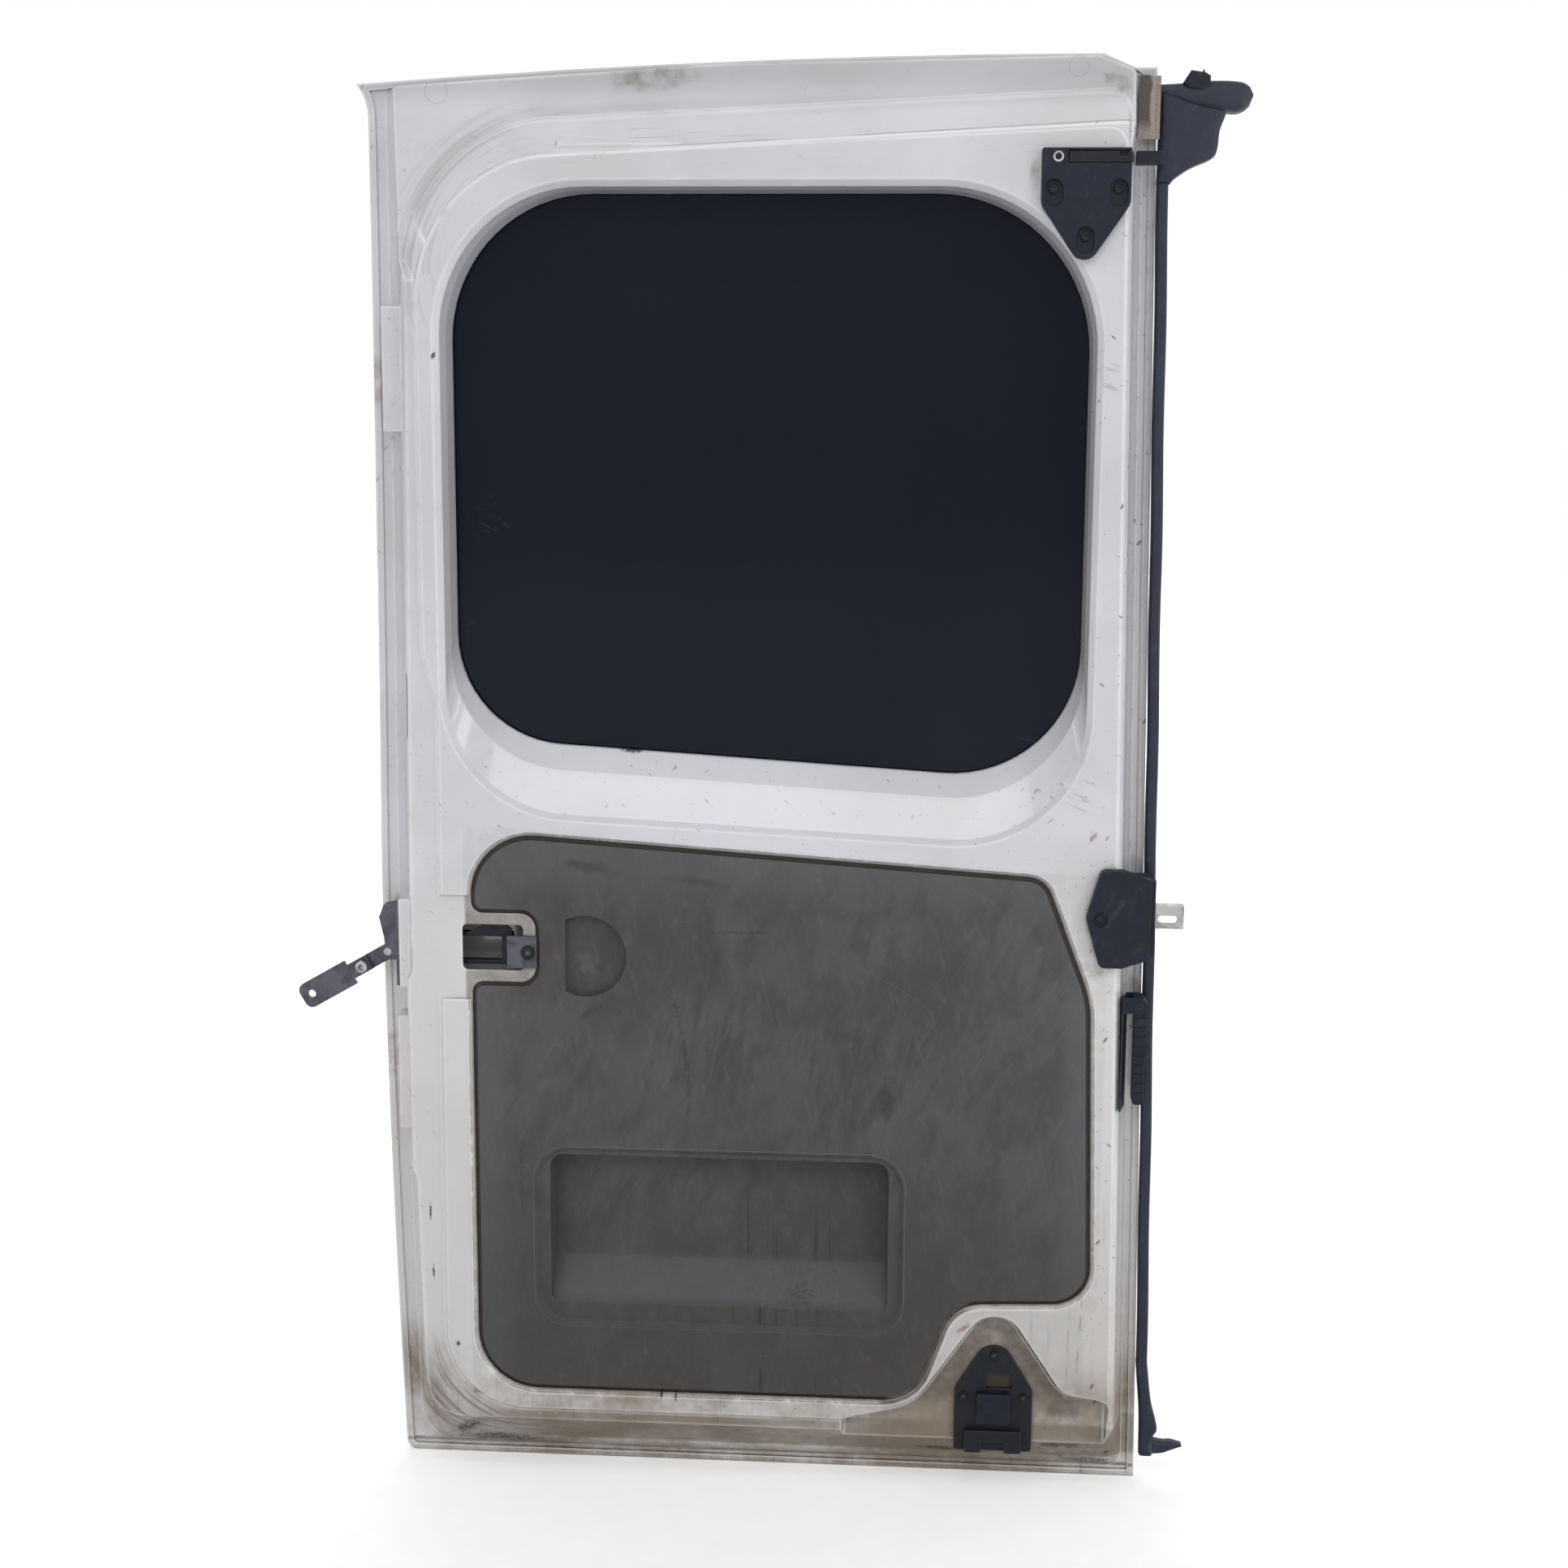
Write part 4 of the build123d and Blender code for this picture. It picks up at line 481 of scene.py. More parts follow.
        # Dark grime and painted shade deep in the grooves
        groove = self.step(self.crevice(0.012, 1.2), 0.22, 0.62)
        self.groove_grime_and_shade = self.mul(groove, self.lift(self.step(self.fine, 0.2, 0.6), 0.55, 0.45))
        self.lay((74, 66, 58), self.groove_grime_and_shade, kept, 0.85)

    def chips(self):
        """Chips and dots, thickest on the free stile and the waist."""
        waist = self.mul(self.band(self.z, 0.17, 0.34, 0.02), 0.6)
        hinge_side = self.mul(self.step(self.x, 0.05, 0.03), 0.4)
        worn = self.most(self.step(self.x, 0.675, 0.695), waist, hinge_side, 0.12)
        large = self.specks(0.011, 0.035, (0.5, 1, 1.3), 35.0)
        small = self.specks(0.008, 0.03, (0.4, 1, 1.4), -50.0, (0.3, 0.1, 0.2))
        chipped = self.mul(self.most(large, small), worn, self.step(self.fine, 0.30, 0.45))
        self.lay((84, 74, 64), chipped, self.inside, 0.85)
        dots = self.specks(0.0035, 0.05, at=(0.1, 0.3, 0.7))
        self.lay((92, 78, 64), dots, self.most(worn, self.low), self.inside, 0.55)

    def single_marks(self):
        """Marks at places of their own: smears, scrapes, scuffs, trickles, rust, yellow dabs and primer."""
        smears = self.spots(0.35, 0.02, *SMEARS)
        self.lay((112, 106, 96), smears, self.step(self.fine, 0.25, 0.80), self.inside, 0.75)
        scraped = self.step(self.noise(0.0022, 3.0, (14, 1, 1), 24.0), 0.56, 0.70)
        self.lay((116, 108, 98), self.spots(0.5, 0.02, *SCRAPES), scraped, self.inside, 0.55)
        self.scuffs = self.spots(0.6, 0.004, *SCUFFS)
        self.lay((44, 40, 38), self.scuffs, self.inside, 0.85)
        beads = self.step(self.noise(0.005, 3.0, (1, 1, 3)), 0.38, 0.62)
        self.lay((84, 72, 60), self.spots(0.4, 0.006, *TRICKLES), beads, self.inside, 0.35)
        self.lay((140, 96, 58), self.spots(0.7, 0.004, *RUST), self.inside, 0.7)
        self.lay((178, 168, 62), self.spots(0.6, 0.003, *YELLOW_DABS), self.inside, 0.8)
        heights = self.most(*(self.band(self.z, low, high, 0.006) for low, high in PRIMED_HEIGHTS))
        primer = self.mul(heights, self.step(self.x, 0.0, -0.004), self.step(self.fine, 0.3, 0.6))
        self.lay((148, 118, 112), primer, self.inside, 0.45)

    def latch_works(self):
        """Dark inside of the lower latch, seen through its window: painted shade with the dark mechanism of
        the latch.
        """
        window = self.mul(self.band(self.x, 0.603, 0.637, 0.002), self.band(self.z, -0.335, -0.300, 0.002))
        self.shaded_works = self.mul(window, self.step(self.y, -0.0136, -0.0126), self.inside)
        # Painted shade and the dark mechanism inside the latch
        self.lay((46, 40, 33), self.shaded_works, 0.9)

    def stamped_rings(self):
        """Faint rings pressed into the header."""
        self.stamped = self.most(*(self.ring(*place) for place in STAMPED_RINGS))
        self.lay((140, 138, 138), self.stamped, self.inside, 0.30)

    def gloss(self):
        """Glossy coat, dull where grime and painted shade lie, on a slightly wavy sheet with soft folds."""
        # Grime and painted shade both make the coat duller here
        grime = self.total(self.dusty, self.mul(self.slope, 0.7), self.groove_grime_and_shade, self.mul(self.around, 0.6))
        dark = self.total(self.most(self.shaded_works, self.foot), self.shaded_pocket_wall, self.wall, self.scuffs, self.contour_grime_and_shade)
        dull = self.total(grime, dark)
        ripple = self.total(self.mul(self.noise(0.003, 2.0), 0.2), self.mul(self.cloudy, 0.2))
        wave = self.total(ripple, self.mul(self.stamped, 0.4))
        return self.finish(
            Base_Color=self.shade,
            Roughness=self.lift(grime, 0.20, 0.45),
            Specular_IOR_Level=self.lift(dull, 0.5, -0.4),
            Coat_Weight=self.lift(dull, 0.8, -0.75),
            Coat_Roughness=0.09,
            Normal=self.bump(wave, 0.0004, 0.25, self.bevel),
        )


def paint():
    """White paint with dust, grime and painted shade in the grooves and recesses, painted highlights on its
    folds and crest, scuffs, chips and drips.
    """
    sheet = PaintedSheet()
    sheet.header_film_and_shade()
    sheet.dust()
    sheet.bottom_slope_shade()
    sheet.latch_pocket_dust_and_shade()
    sheet.free_edge_shade_and_streaks()
    sheet.header_bend_shade_and_smear()
    sheet.crest_lines()
    sheet.hinge_corner()
    sheet.fold_highlights_and_groove_shade()
    sheet.chips()
    sheet.single_marks()
    sheet.latch_works()
    sheet.stamped_rings()
    return sheet.gloss()


def glass():
    """Dark glass with a faint film, one smeared patch and hair scratches."""
    s = Shader("tinted_glass")
    film = s.noise(0.35, 4.0, warp=0.4)
    strokes = s.step(s.noise(0.004, 5.0, (3, 1, 1), 25.0), 0.50, 0.72)
    smudge = s.mul(s.spot(0.096, 0.565, 0.022, 0.030, 20.0, 0.9, 0.012), strokes)
    hairs = s.spots(0.3, 0.01, *GLASS_SCRATCHES)
    s.ground(s.step(film, 0.3, 0.75), (17, 21, 34), (22, 26, 38))
    s.lay((92, 98, 108), s.total(s.mul(smudge, 0.6), s.mul(hairs, 0.5)), 0.22)
    rough = s.lift(s.total(s.mul(film, 0.10), smudge), 0.08, 0.4)
    dimple = s.bump(s.noise(0.2, 2.0), 0.002, 0.15)
    return s.finish(Base_Color=s.shade, Roughness=rough, Specular_IOR_Level=0.10, Normal=dimple)


def trim():
    """Grey moulded board: fine grain, rubbed patches, curved scratches, drips and an oil stain, with a
    painted sheen along its sides and top, a painted highlight on its edges and painted shade in its corners.
    """
    s = Shader("trim_plastic")
    cloudy = s.noise(0.10, 6.0, warp=1.2)
    blotch = s.noise(0.22, 4.0, warp=0.5, at=(0.3, 0, 0.1))
    s.ground(s.step(cloudy, 0.3, 0.72), (71, 69, 69), (83, 81, 81))
    s.lay((92, 91, 90), s.step(blotch, 0.45, 0.72), 0.5)
    mottled = s.noise(0.018, 6.0, (1, 1, 2.5), 20.0, 0.5)
    s.lay((64, 62, 63), s.step(mottled, 0.42, 0.70), 0.55)
    scuffed = s.noise(0.007, 5.0, (1, 1, 3.5), -14.0, 0.3)
    s.lay((96, 95, 95), s.step(scuffed, 0.50, 0.75), 0.32)
    # Lighter and bluish along both sides and the top: a painted sheen, with wear from hands there
    rim = s.most(s.step(s.x, 0.135, 0.09), s.step(s.x, 0.66, 0.70), s.mul(s.step(s.z, 0.17, 0.23), 0.8))
    s.lay((100, 102, 106), rim, 0.45)
    # Scratches that curve about the middle, and slanting ones
    arcs = s.step(s.swirl(0.36, -0.15, 0.0022, 0.8), 0.62, 0.74)
    swept = s.step(s.noise(0.12, 3.0, at=(0.5, 0.2, 0.1)), 0.42, 0.62)
    s.lay((116, 115, 114), arcs, swept, 0.40)
    slants = s.step(s.noise(0.0025, 4.0, (1, 1, 24), 32.0), 0.60, 0.74)
    s.lay((112, 110, 108), slants, s.step(blotch, 0.40, 0.60), 0.25)
    # Browner and darker towards the bottom
    s.lay((64, 60, 57), s.step(s.z, 0.0, -0.30), 0.45)
    # Dark strokes and patches
    brushed = s.step(s.noise(0.010, 5.0, (1, 1, 6), 8.0, 0.6), 0.38, 0.74)
    s.lay((52, 51, 52), brushed, s.spots(0.7, 0.03, *TRIM_STROKES), 0.50)
    s.lay((48, 46, 46), s.spots(0.9, 0.015, *TRIM_PATCHES), s.step(cloudy, 0.25, 0.6), 0.6)
    bow = s.mul(s.ring(0.0, -0.013, 0.301, 0.004), s.spot(0.293, 0.030, 0.04, 0.10, 0.0, 0.3))
    smears = s.spots(0.7, 0.006, *TRIM_SMEARS)
    s.lay((44, 42, 42), s.most(bow, smears), s.step(s.noise(0.004, 4.0), 0.35, 0.6), 0.55)
    # Drips from the map pocket, the oil in it and the pale ledge of its floor
    drips = s.mul(
        s.step(s.noise(0.004, 4.0, (1, 1, 30)), 0.56, 0.68),
        s.band(s.x, 0.350, 0.465, 0.012),
        s.step(s.z, -0.12, -0.18),
    )
    long_drip = s.spot(0.3595, -0.165, 0.0014, 0.055, 0.0, 0.4, 0.006)
    s.lay((46, 44, 43), s.most(drips, long_drip), 0.55)
    oil = s.spot(0.414, -0.227, 0.026, 0.012, 0.0, 1.0, 0.006)
    s.lay((32, 31, 33), oil, s.step(s.noise(0.003, 4.0), 0.40, 0.55), 0.85)
    ledge = s.mul(s.band(s.x, 0.165, 0.505, 0.01), s.band(s.z, -0.236, -0.198, 0.006))
    s.lay((96, 98, 104), ledge, s.step(s.y, -0.028, -0.024), 0.40)
    # Finger mark in the thumb recess
    s.lay((112, 110, 104), s.spot(0.198, 0.118, 0.012, 0.020, -20.0, 0.8, 0.008), 0.30)
    # Pale specks, a rubbed outer edge that is also a painted highlight, and dirt with painted shade in the
    # edges
    s.lay((126, 122, 116), s.specks(0.011, 0.06, at=(0.2, 0.4, 0.1)), 0.10)
    s.lay((124, 126, 132), s.edge_wear_and_highlight(0.0015), 0.40)
    s.lay((44, 42, 42), s.step(s.crevice(0.006), 0.35, 0.9), 0.45)
    grain = s.total(s.mul(s.noise(0.0012, 3.0), 0.6), s.mul(arcs, 0.2))
    return s.finish(
        Base_Color=s.shade,
        Roughness=s.lift(cloudy, 0.46, 0.25),
        Specular_IOR_Level=0.25,
        Normal=s.bump(grain, 0.0005, 0.5, s.rounded(0.0015)),
    )


def moulded(name, base, worn, grain_size, roughness, specular=0.22):
    """Black moulding or rubber: grain, rubbed edges that are also a painted highlight, and a film of dust."""
    s = Shader(name)
    cloudy = s.noise(0.03, 5.0, warp=0.8)
    dusty = s.step(s.noise(0.008, 5.0, (1, 1, 2), 30.0), 0.54, 0.82)
    s.ground(s.step(cloudy, 0.3, 0.75), base, worn)
    s.lay((112, 110, 108), dusty, 0.14)
    # Bluish light on the edges: wear and a painted highlight
    s.lay((120, 124, 134), s.edge_wear_and_highlight(0.0016), s.step(cloudy, 0.3, 0.6), 0.25)
    grain = s.noise(grain_size, 3.0)
    return s.finish(
        Base_Color=s.shade,
        Roughness=s.lift(cloudy, roughness, 0.2),
        Specular_IOR_Level=specular,
        Normal=s.bump(grain, 0.0003, 0.35, s.rounded(0.0012)),
    )


def steel(name, base, stained, roughness, metallic=0.85, rub_and_highlight=0.25, specular=0.5):
    """Plated or dull steel: drawn scratches, stains, grime with painted shade in the corners, and bright
    edges of wear and painted highlight.
    """
    s = Shader(name)
    cloudy = s.noise(0.018, 5.0, warp=1.0)
    drawn = s.noise(0.002, 3.0, (8, 1, 1), 20.0)
    s.ground(s.step(cloudy, 0.35, 0.7), base, stained)
    # Dark corners: grime and painted shade
    s.lay((40, 36, 32), s.step(s.crevice(0.006), 0.3, 0.8), 0.6)
    # Bright edges: wear and a painted highlight
    s.lay((172, 170, 168), s.edge_wear_and_highlight(0.0012), s.step(cloudy, 0.3, 0.6), rub_and_highlight)
    wear = s.total(s.mul(cloudy, 0.5), s.mul(drawn, 0.5))
    return s.finish(
        Base_Color=s.shade,
        Roughness=s.lift(wear, roughness, 0.25),
        Metallic=metallic,
        Specular_IOR_Level=specular,
        Normal=s.bump(drawn, 0.0002, 0.3, s.rounded(0.0008)),
    )


def foam():
    """Open-pored beige strip, dark along the side that faces the wall."""
    s = Shader("beige_foam")
    pores = s.noise(0.0015, 4.0)
    streaks = s.step(s.noise(0.004, 4.0, (1, 1, 12)), 0.5, 0.68)
    s.ground(s.step(pores, 0.3, 0.7), (140, 129, 120), (158, 148, 138))
    ragged = s.lift(s.noise(0.012, 4.0), s.x, 0.010)
    wall_side = s.mul(s.step(ragged, 0.7405, 0.7375), s.step(s.z, 0.925, 0.945))
    s.lay((46, 40, 42), s.most(s.mul(streaks, 0.35), wall_side), 0.8)
    return s.finish(Base_Color=s.shade, Roughness=0.9, Normal=s.bump(pores, 0.0006, 0.8))


# One finish for each material slot of the record
finishes = {
    "white_paint": paint(),
    "tinted_glass": glass(),
    "trim_plastic": trim(),
    "sealant": moulded("sealant", (20, 20, 22), (28, 28, 30), 0.002, 0.6),
    # The black plastic's blue cast is a painted bluish reflection
    "black_plastic": moulded("black_plastic", (17, 22, 34), (24, 29, 45), 0.0009, 0.36),
    "seal_rubber": moulded("seal_rubber", (30, 34, 48), (40, 45, 60), 0.0012, 0.42, specular=0.32),
    "dark_steel": steel("dark_steel", (27, 29, 38), (21, 22, 28), 0.38, 0.1, rub_and_highlight=0.3, specular=0.25),
    "zinc_steel": steel("zinc_steel", (168, 167, 170), (128, 124, 122), 0.3),
    "arm_steel": steel("arm_steel", (88, 88, 98), (66, 64, 68), 0.38, 0.7),
    "beige_foam": foam(),
}

slots = {part["node"]: part["material_slot"] for part in frame["record"]["subparts"]}
for name, part in nodes.items():
    part.data.materials.clear()
    part.data.materials.append(finishes[slots[name]])


# Pieces added to the CAD: bolt heads with sockets, and the sculpted rubber forms of the seal
# Points in a ring, angle in degrees that keeps an edge sharp, and how far apart points of one bolt can be
RING = 36
SHARP_ANGLE = 38
BOLT_SPREAD = 0.02
SOCKET_SIDES = 6
# Share by which the recess of a cross narrows between its arms
CROSS_PINCH = 0.62


def add_piece(name, meshes, slot, body, *replaced):
    """One object from several lists of vertices and faces, in a slot's finish, riding on a body."""
    vertices, faces = [], []
    for points, polygons in meshes:
        faces += [tuple(i + len(vertices) for i in polygon) for polygon in polygons]
        vertices += points
    mesh = bpy.data.meshes.new(name)
    mesh.from_pydata(vertices, [], faces)
    mesh.polygons.foreach_set("use_smooth", [True] * len(faces))
    mesh.materials.append(finishes[slot])
    shape = bmesh.new()
    shape.from_mesh(mesh)
    bmesh.ops.recalc_face_normals(shape, faces=shape.faces)
    shape.to_mesh(mesh)
    shape.free()
    mesh.set_sharp_from_angle(angle=math.radians(SHARP_ANGLE))
    piece = bpy.data.objects.new(name, mesh)
    scene.collection.objects.link(piece)
    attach(piece, body)
    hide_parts(*replaced)


def skin(rings):
    """Vertices and faces of a closed skin through rings of points, capped at both ends."""
    count = len(rings[0])
    points = [point for ring in rings for point in ring]
    faces = []
    for start in range(0, len(points) - count, count):
        for i in range(count):
            j = (i + 1) % count
            faces.append((start + i, start + j, start + count + j, start + count + i))
    faces.append(tuple(reversed(range(count))))
    faces.append(tuple(range(len(points) - count, len(points))))
    return points, faces


def separate_boxes(node):
    """Boxes of the separate bolts of one node: vertices closer than a bolt's spread belong together."""
    groups = []
    for vertex in nodes[node].data.vertices:
        near = [group for group in groups if (group[0] - vertex.co).length < BOLT_SPREAD]
        if near:
            near[0].append(vertex.co.copy())
        else:
            groups.append([vertex.co.copy()])
    boxes = []
    for group in groups:
        low = Vector([min(v[i] for v in group) for i in range(3)])
        high = Vector([max(v[i] for v in group) for i in range(3)])
        boxes.append((low, high))
    return boxes


def recessed_head(low, high, profile, pinch):
    """Head that faces the cabin, in the given box; a pinch narrows the rings of its recess at each angle.

    A row of the profile is a share of the radius, a share of the height, and whether it is in the recess.
    """
    middle = (low + high) / 2
    radius = (high.x - low.x) / 2
    height = high.y - low.y
    rings = []
    for share, rise, recessed in profile:
        ring = []
        for i in range(RING):
            angle = math.tau * i / RING
            reach = radius * share
            if recessed:
                reach *= pinch(angle)
            x = middle.x + reach * math.cos(angle)
            z = middle.z + reach * math.sin(angle)
            ring.append((x, high.y - height * rise, z))
        rings.append(ring)
    return skin(rings)


def socket_head(low, high):
    """Domed bolt head with a six-sided socket."""
    half = math.pi / SOCKET_SIDES
    profile = [
        (1.0, 0.0, False),
        (1.0, 0.55, False),
        (0.93, 0.82, False),
        (0.76, 0.97, False),
        (0.60, 1.0, False),
        (0.55, 0.97, True),
        (0.50, 0.25, True),
    ]

    def pinch(angle):
        return math.cos(half) / math.cos(angle % (2 * half) - half)

    return recessed_head(low, high, profile, pinch)


def cross_head(low, high):
    """Screw head with a cross-shaped recess."""
    profile = [
        (1.0, 0.0, False),
        (1.0, 0.5, False),
        (0.85, 0.85, False),
        (0.62, 1.0, False),
        (0.56, 0.98, True),
        (0.45, 0.2, True),
    ]

    def pinch(angle):
        return 1 - CROSS_PINCH * abs(math.sin(2 * angle)) ** 0.5

    return recessed_head(low, high, profile, pinch)


def along(course, place):
    """Value at a place on a smooth course through (place, value) points."""
    last = len(course) - 1
    i = max(k for k in range(last) if course[k][0] <= place or k == 0)
    (start, first), (end, second) = course[i], course[i + 1]
    before = course[max(i - 1, 0)]
    after = course[min(i + 2, last)]
    span = end - start
    t = min(max((place - start) / span, 0.0), 1.0)
    slope_first = (second - before[1]) / max(end - before[0], span)
    slope_second = (after[1] - first) / max(after[0] - start, span)
    turn = slope_first * span * t * (1 - t) ** 2 - slope_second * span * t ** 2 * (1 - t)
    return first * (1 + 2 * t) * (1 - t) ** 2 + second * t * t * (3 - 2 * t) + turn


def rounded_ring(low, high, roundness):
    """Ring of (across, y) points that fills a flat box, with rounded corners."""
    (left, front), (right, back) = low, high
    ring = []
    for i in range(RING):
        cosine = math.cos(math.tau * i / RING)
        sine = math.sin(math.tau * i / RING)
        across = math.copysign(abs(cosine) ** roundness, cosine)
        deep = math.copysign(abs(sine) ** roundness, sine)
        place = (left + right + (right - left) * across) / 2
        y = (front + back + (back - front) * deep) / 2
        ring.append((place, y))
    return ring


def soft_form(ends, sides, front, back, steps, roundness, upright):
    """Soft form of rings from end to end, upright or lying along X.

    Its two sides and its front are courses along its length, and its back is flat.
    """
    start, end = ends
    near, far = sides
    rings = []
    for i in range(steps + 1):
        place = start + (end - start) * i / steps
        ring = rounded_ring((along(near, place), along(front, place)), (along(far, place), back), roundness)
        rings.append([(across, y, place) if upright else (place, y, across) for across, y in ring])
    return skin(rings)


def bolts():
    """Heads of the latch bolts, of the catch's bolt and of the screw in the striker's cover."""
    upper = [socket_head(low, high) for low, high in separate_boxes("upper_latch_bolts")]
    add_piece("upper_latch_bolt_heads", upper, "black_plastic", "door", "upper_latch_bolts")
    lower = [socket_head(low, high) for low, high in separate_boxes("lower_latch_bolts")]
    add_piece("lower_latch_bolt_heads", lower, "dark_steel", "door", "lower_latch_bolts")
    catch = [socket_head(*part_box("check_catch_bolt"))]
    add_piece("check_catch_bolt_head", catch, "dark_steel", "door", "check_catch_bolt")
    cover = [cross_head(*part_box("striker_cover_screw"))]
    add_piece("striker_cover_screw_head", cover, slots["striker_cover_screw"], "door", "striker_cover_screw")


def seal_cap():
    """Rubber cap on top of the edge seal: a rolled bar that reaches out, and a curved web under it."""
    low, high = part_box("seal_top_cap")
    left, right = low.x, high.x
    foot, top = low.z, high.z
    neck = top - 0.010
    roll_under = [
        (left, top - 0.012),
        (left + 0.030, top - 0.023),
        (right - 0.018, top - 0.029),
        (right - 0.008, top - 0.027),
        (right - 0.0015, top - 0.021),
        (right, top - 0.015),
    ]
    roll_over = [
        (left, top - 0.003),
        (left + 0.020, top - 0.002),
        (right - 0.040, top),
        (right - 0.012, top - 0.001),
        (right - 0.0015, top - 0.006),
        (right, top - 0.011),
    ]
    roll_front = [
        (left, low.y + 0.004),
        (left + 0.030, low.y),
        (right - 0.010, low.y + 0.001),
        (right, low.y + 0.010),
    ]
    web_left = [(foot, left), (neck, left)]
    web_right = [
        (foot, left + 0.013),
        (foot + 0.004, left + 0.016),
        (foot + 0.014, left + 0.031),
        (foot + 0.023, left + 0.051),
        (foot + 0.032, left + 0.0555),
        (foot + 0.048, left + 0.057),
        (foot + 0.060, left + 0.061),
        (neck, left + 0.068),
    ]
    web_front = [
        (foot, low.y + 0.020),
        (foot + 0.012, low.y + 0.014),
        (foot + 0.040, low.y + 0.013),
        (foot + 0.058, low.y + 0.009),
        (neck, low.y + 0.003),
    ]
    roll = soft_form(
        (left, right), (roll_under, roll_over), roll_front, high.y, steps=30, roundness=0.62, upright=False
    )
    web = soft_form(
        (foot, neck), (web_left, web_right), web_front, high.y, steps=44, roundness=0.42, upright=True
    )
    add_piece("seal_top_cap_rubber", [roll, web], "seal_rubber", "door", "seal_top_cap")


def seal_foot():
    """Rubber end under the edge seal: it leans out, ends in a heel and has a thin pointed toe."""
    low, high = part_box("seal_bottom_cap")
    left, right = low.x, high.x
    foot, top = low.z, high.z
    heel = left + 0.012
    stem_left = [
        (foot, left + 0.006),
        (foot + 0.045, left + 0.005),
        (foot + 0.080, left + 0.002),
        (top, left),
    ]
    stem_right = [
        (foot, left + 0.020),
        (foot + 0.016, left + 0.019),
        (foot + 0.022, left + 0.021),
        (foot + 0.026, left + 0.024),
        (foot + 0.034, left + 0.0235),
        (foot + 0.060, left + 0.017),
        (top, left + 0.0118),
    ]
    stem_front = [(foot, low.y), (top, low.y)]
    toe_under = [
        (heel, foot),
        (left + 0.030, foot + 0.001),
        (right - 0.012, foot + 0.004),
        (right, foot + 0.009),
    ]
    toe_over = [
        (heel, foot + 0.020),
        (left + 0.022, foot + 0.016),
        (left + 0.032, foot + 0.014),
        (right - 0.012, foot + 0.0145),
        (right, foot + 0.0105),
    ]
    toe_front = [(heel, low.y + 0.001), (right, low.y + 0.005)]
    stem = soft_form(
        (foot, top), (stem_left, stem_right), stem_front, high.y, steps=40, roundness=0.55, upright=True
    )
    toe = soft_form(
        (heel, right), (toe_under, toe_over), toe_front, high.y, steps=24, roundness=0.6, upright=False
    )
    add_piece("seal_bottom_cap_rubber", [stem, toe], "seal_rubber", "door", "seal_bottom_cap")


def seal_clip():
    """Clip on the cap: a block with a sloping flank that hangs over the roll, and a small pointed tab."""
    low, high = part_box("seal_top_clip")
    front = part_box("seal_top_cap")[0].y - 0.0015
    left, right, top = low.x, high.x, high.z
    profile = [
        (left - 0.004, top - 0.011),
        (left + 0.003, top),
        (right - 0.005, top - 0.002),
        (right, top - 0.005),
        (right, top - 0.015),
        (right - 0.003, top - 0.018),
        (left + 0.001, top - 0.016),
    ]
    middle_x = sum(x for x, z in profile) / len(profile)
    middle_z = sum(z for x, z in profile) / len(profile)
    block_rings = []
    for y, share in ((high.y, 1.0), (front + 0.0012, 1.0), (front, 0.90)):
        ring = []
        for x, z in profile:
            ring.append((middle_x + (x - middle_x) * share, y, middle_z + (z - middle_z) * share))
        block_rings.append(ring)
    tab_x = right - 0.007
    tab_y = (low.y + high.y) / 2
    half = 0.002
    corners = [(-half, -half), (half, -half), (half, half), (-half, half)]
    # Each ring of the tab: lean towards the free side, share of the width and of the depth, and rise
    tab_profile = [(0.0, 1.0, 1.0, -0.003), (0.002, 0.6, 0.8, 0.001), (0.003, 0.15, 0.4, 0.0035)]
    tab_rings = []
    for lean, wide, deep, rise in tab_profile:
        tab_rings.append([(tab_x + lean + x * wide, tab_y + y * deep, top + rise) for x, y in corners])
    meshes = [skin(block_rings), skin(tab_rings)]
    add_piece("seal_top_clip_block", meshes, "black_plastic", "door", "seal_top_clip")


def seal_run():
    """Rubber bulb of the edge seal: rounded, leaning with the door's edge, with a slight waver."""
    low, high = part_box("edge_seal")
    foot_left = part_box("seal_bottom_cap")[0].x
    wide = high.x - foot_left
    waver = 0.0004
    waver_angle = 37
    roundness = 0.48
    steps = 90
    rings = []
    for i in range(steps + 1):
        share = i / steps
        z = low.z + (high.z - low.z) * share
        left = foot_left + (low.x - foot_left) * share + waver * (1 + math.sin(share * waver_angle))
        ring = rounded_ring((left, low.y), (left + wide - 2 * waver, high.y), roundness)
        rings.append([(x, y, z) for x, y in ring])
    add_piece("edge_seal_rubber", [skin(rings)], "seal_rubber", "door", "edge_seal")


bolts()
seal_cap()
seal_clip()
seal_run()
seal_foot()


# Floor, world, lamps and camera
FLOOR_REACH = 14.0
SKY_ON_OBJECT = 0.64
SKY_SEEN = 1.0
DOOR_MIDDLE = (0.4, 0.0, 0.3)


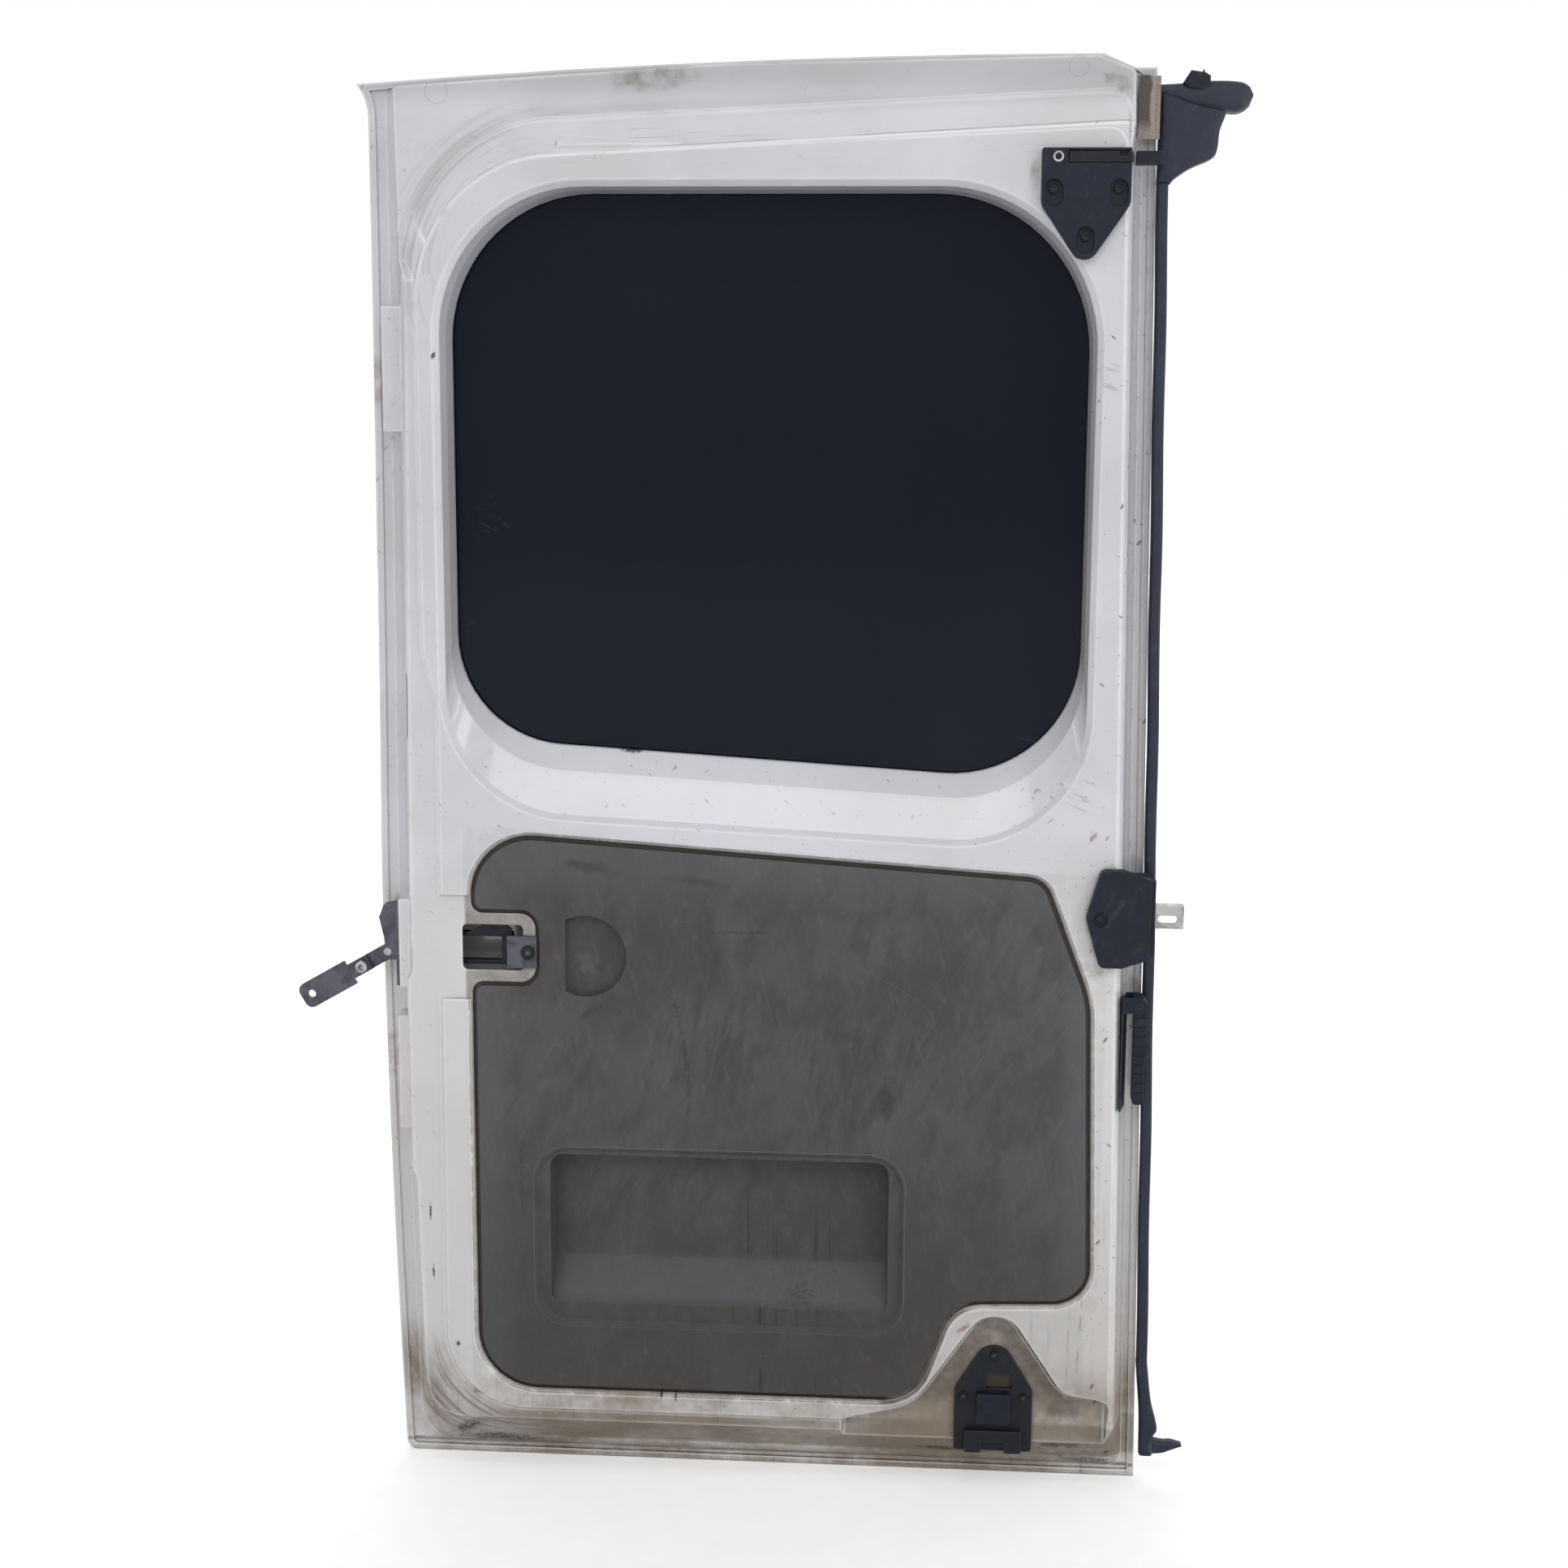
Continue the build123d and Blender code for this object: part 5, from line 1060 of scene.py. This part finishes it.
def floor():
    """Pale floor that turns to plain white away from the door, and keeps the door's shadow."""
    level = cad_box[0][2]
    mesh = bpy.data.meshes.new("floor")
    signs = [(-1, -1), (1, -1), (1, 1), (-1, 1)]
    corners = [(FLOOR_REACH * x, FLOOR_REACH * y, level) for x, y in signs]
    mesh.from_pydata(corners, [], [(0, 1, 2, 3)])
    piece = bpy.data.objects.new("floor", mesh)
    scene.collection.objects.link(piece)
    s = Shader("floor")
    rays = s.make("ShaderNodeLightPath").outputs
    seen = s.total(rays["Is Camera Ray"], rays["Is Glossy Ray"], rays["Is Transmission Ray"])
    away = s.most(s.step(s.reach(s.flat), 1.2, 2.4), s.step(s.math("ABSOLUTE", s.y), 0.7, 2.0))
    speckle = s.step(s.noise(0.02, 4.0), 0.3, 0.7)
    s.finish(
        Base_Color=s.mix(speckle, (0.80, 0.80, 0.81, 1.0), (0.83, 0.83, 0.83, 1.0)),
        Roughness=0.9,
        Specular_IOR_Level=0.1,
        Emission_Color=(1.0, 1.0, 1.0, 1.0),
        Emission_Strength=s.mul(seen, s.lift(away, 0.3, 0.7)),
    )
    mesh.materials.append(s.material)


def world():
    """White surroundings, dimmer for the light that they throw on the door."""
    sky = bpy.data.worlds.new("studio")
    sky.use_nodes = True
    scene.world = sky
    tree = sky.node_tree
    rays = tree.nodes.new("ShaderNodeLightPath")
    seen = rays.outputs["Is Camera Ray"]
    for name in ("Is Glossy Ray", "Is Transmission Ray"):
        both = tree.nodes.new("ShaderNodeMath")
        both.operation = "MAXIMUM"
        tree.links.new(seen, both.inputs[0])
        tree.links.new(rays.outputs[name], both.inputs[1])
        seen = both.outputs[0]
    level = tree.nodes.new("ShaderNodeMapRange")
    tree.links.new(seen, level.inputs["Value"])
    level.inputs["To Min"].default_value = SKY_ON_OBJECT
    level.inputs["To Max"].default_value = SKY_SEEN
    back = tree.nodes["Background"]
    back.inputs["Color"].default_value = (1.0, 1.0, 1.0, 1.0)
    tree.links.new(level.outputs[0], back.inputs["Strength"])


def lamp(name, place, target, width, height, power, tint=(1.0, 1.0, 1.0)):
    """Flat lamp that shines from a place at a target, in metres and watts."""
    data = bpy.data.lights.new(name, "AREA")
    data.shape = "RECTANGLE"
    data.size = width
    data.size_y = height
    data.energy = power
    data.color = tint
    piece = bpy.data.objects.new(name, data)
    aim = Vector(target) - Vector(place)
    piece.matrix_world = Matrix.Translation(place) @ aim.to_track_quat("-Z", "Y").to_matrix().to_4x4()
    scene.collection.objects.link(piece)


def camera():
    """Camera that stands where the photograph was taken."""
    yaw, pitch, roll = (math.radians(v) for v in (CAMERA_YAW, CAMERA_PITCH, CAMERA_ROLL))
    ahead = Vector((-math.sin(yaw) * math.cos(pitch), math.cos(yaw) * math.cos(pitch), -math.sin(pitch)))
    level = Vector((math.cos(yaw), math.sin(yaw), 0))
    upright = level.cross(ahead)
    right = level * math.cos(roll) + upright * math.sin(roll)
    up = upright * math.cos(roll) - level * math.sin(roll)
    data = bpy.data.cameras.new("camera")
    data.lens = CAMERA_LENS
    data.sensor_fit = "HORIZONTAL"
    data.sensor_width = SENSOR
    piece = bpy.data.objects.new("camera", data)
    turn = Matrix((right, up, -ahead)).transposed().to_4x4()
    piece.matrix_world = Matrix.Translation(CAMERA_PLACE) @ turn
    scene.collection.objects.link(piece)
    scene.camera = piece


floor()
world()
lamp("front", (0.3, -2.8, 2.5), DOOR_MIDDLE, 2.6, 1.4, 24.0)
lamp("free_side", (2.3, -1.3, 0.9), (0.3, 0.0, 0.4), 0.7, 1.6, 9.0)
lamp("strip_above", (0.4, -0.9, 2.6), DOOR_MIDDLE, 2.4, 0.035, 4.0)
lamp("strip_free_side", (2.6, -0.5, 0.5), (0.5, 0.0, 0.3), 0.05, 2.2, 4.0)
lamp("strip_hinge_side", (-1.9, -0.5, 0.5), (0.2, 0.0, 0.3), 0.05, 2.2, 3.0, (0.94, 0.97, 1.0))
lamp("back", (0.0, 2.4, 1.6), DOOR_MIDDLE, 2.4, 1.4, 24.0)
camera()
scene.view_settings.view_transform = "Standard"
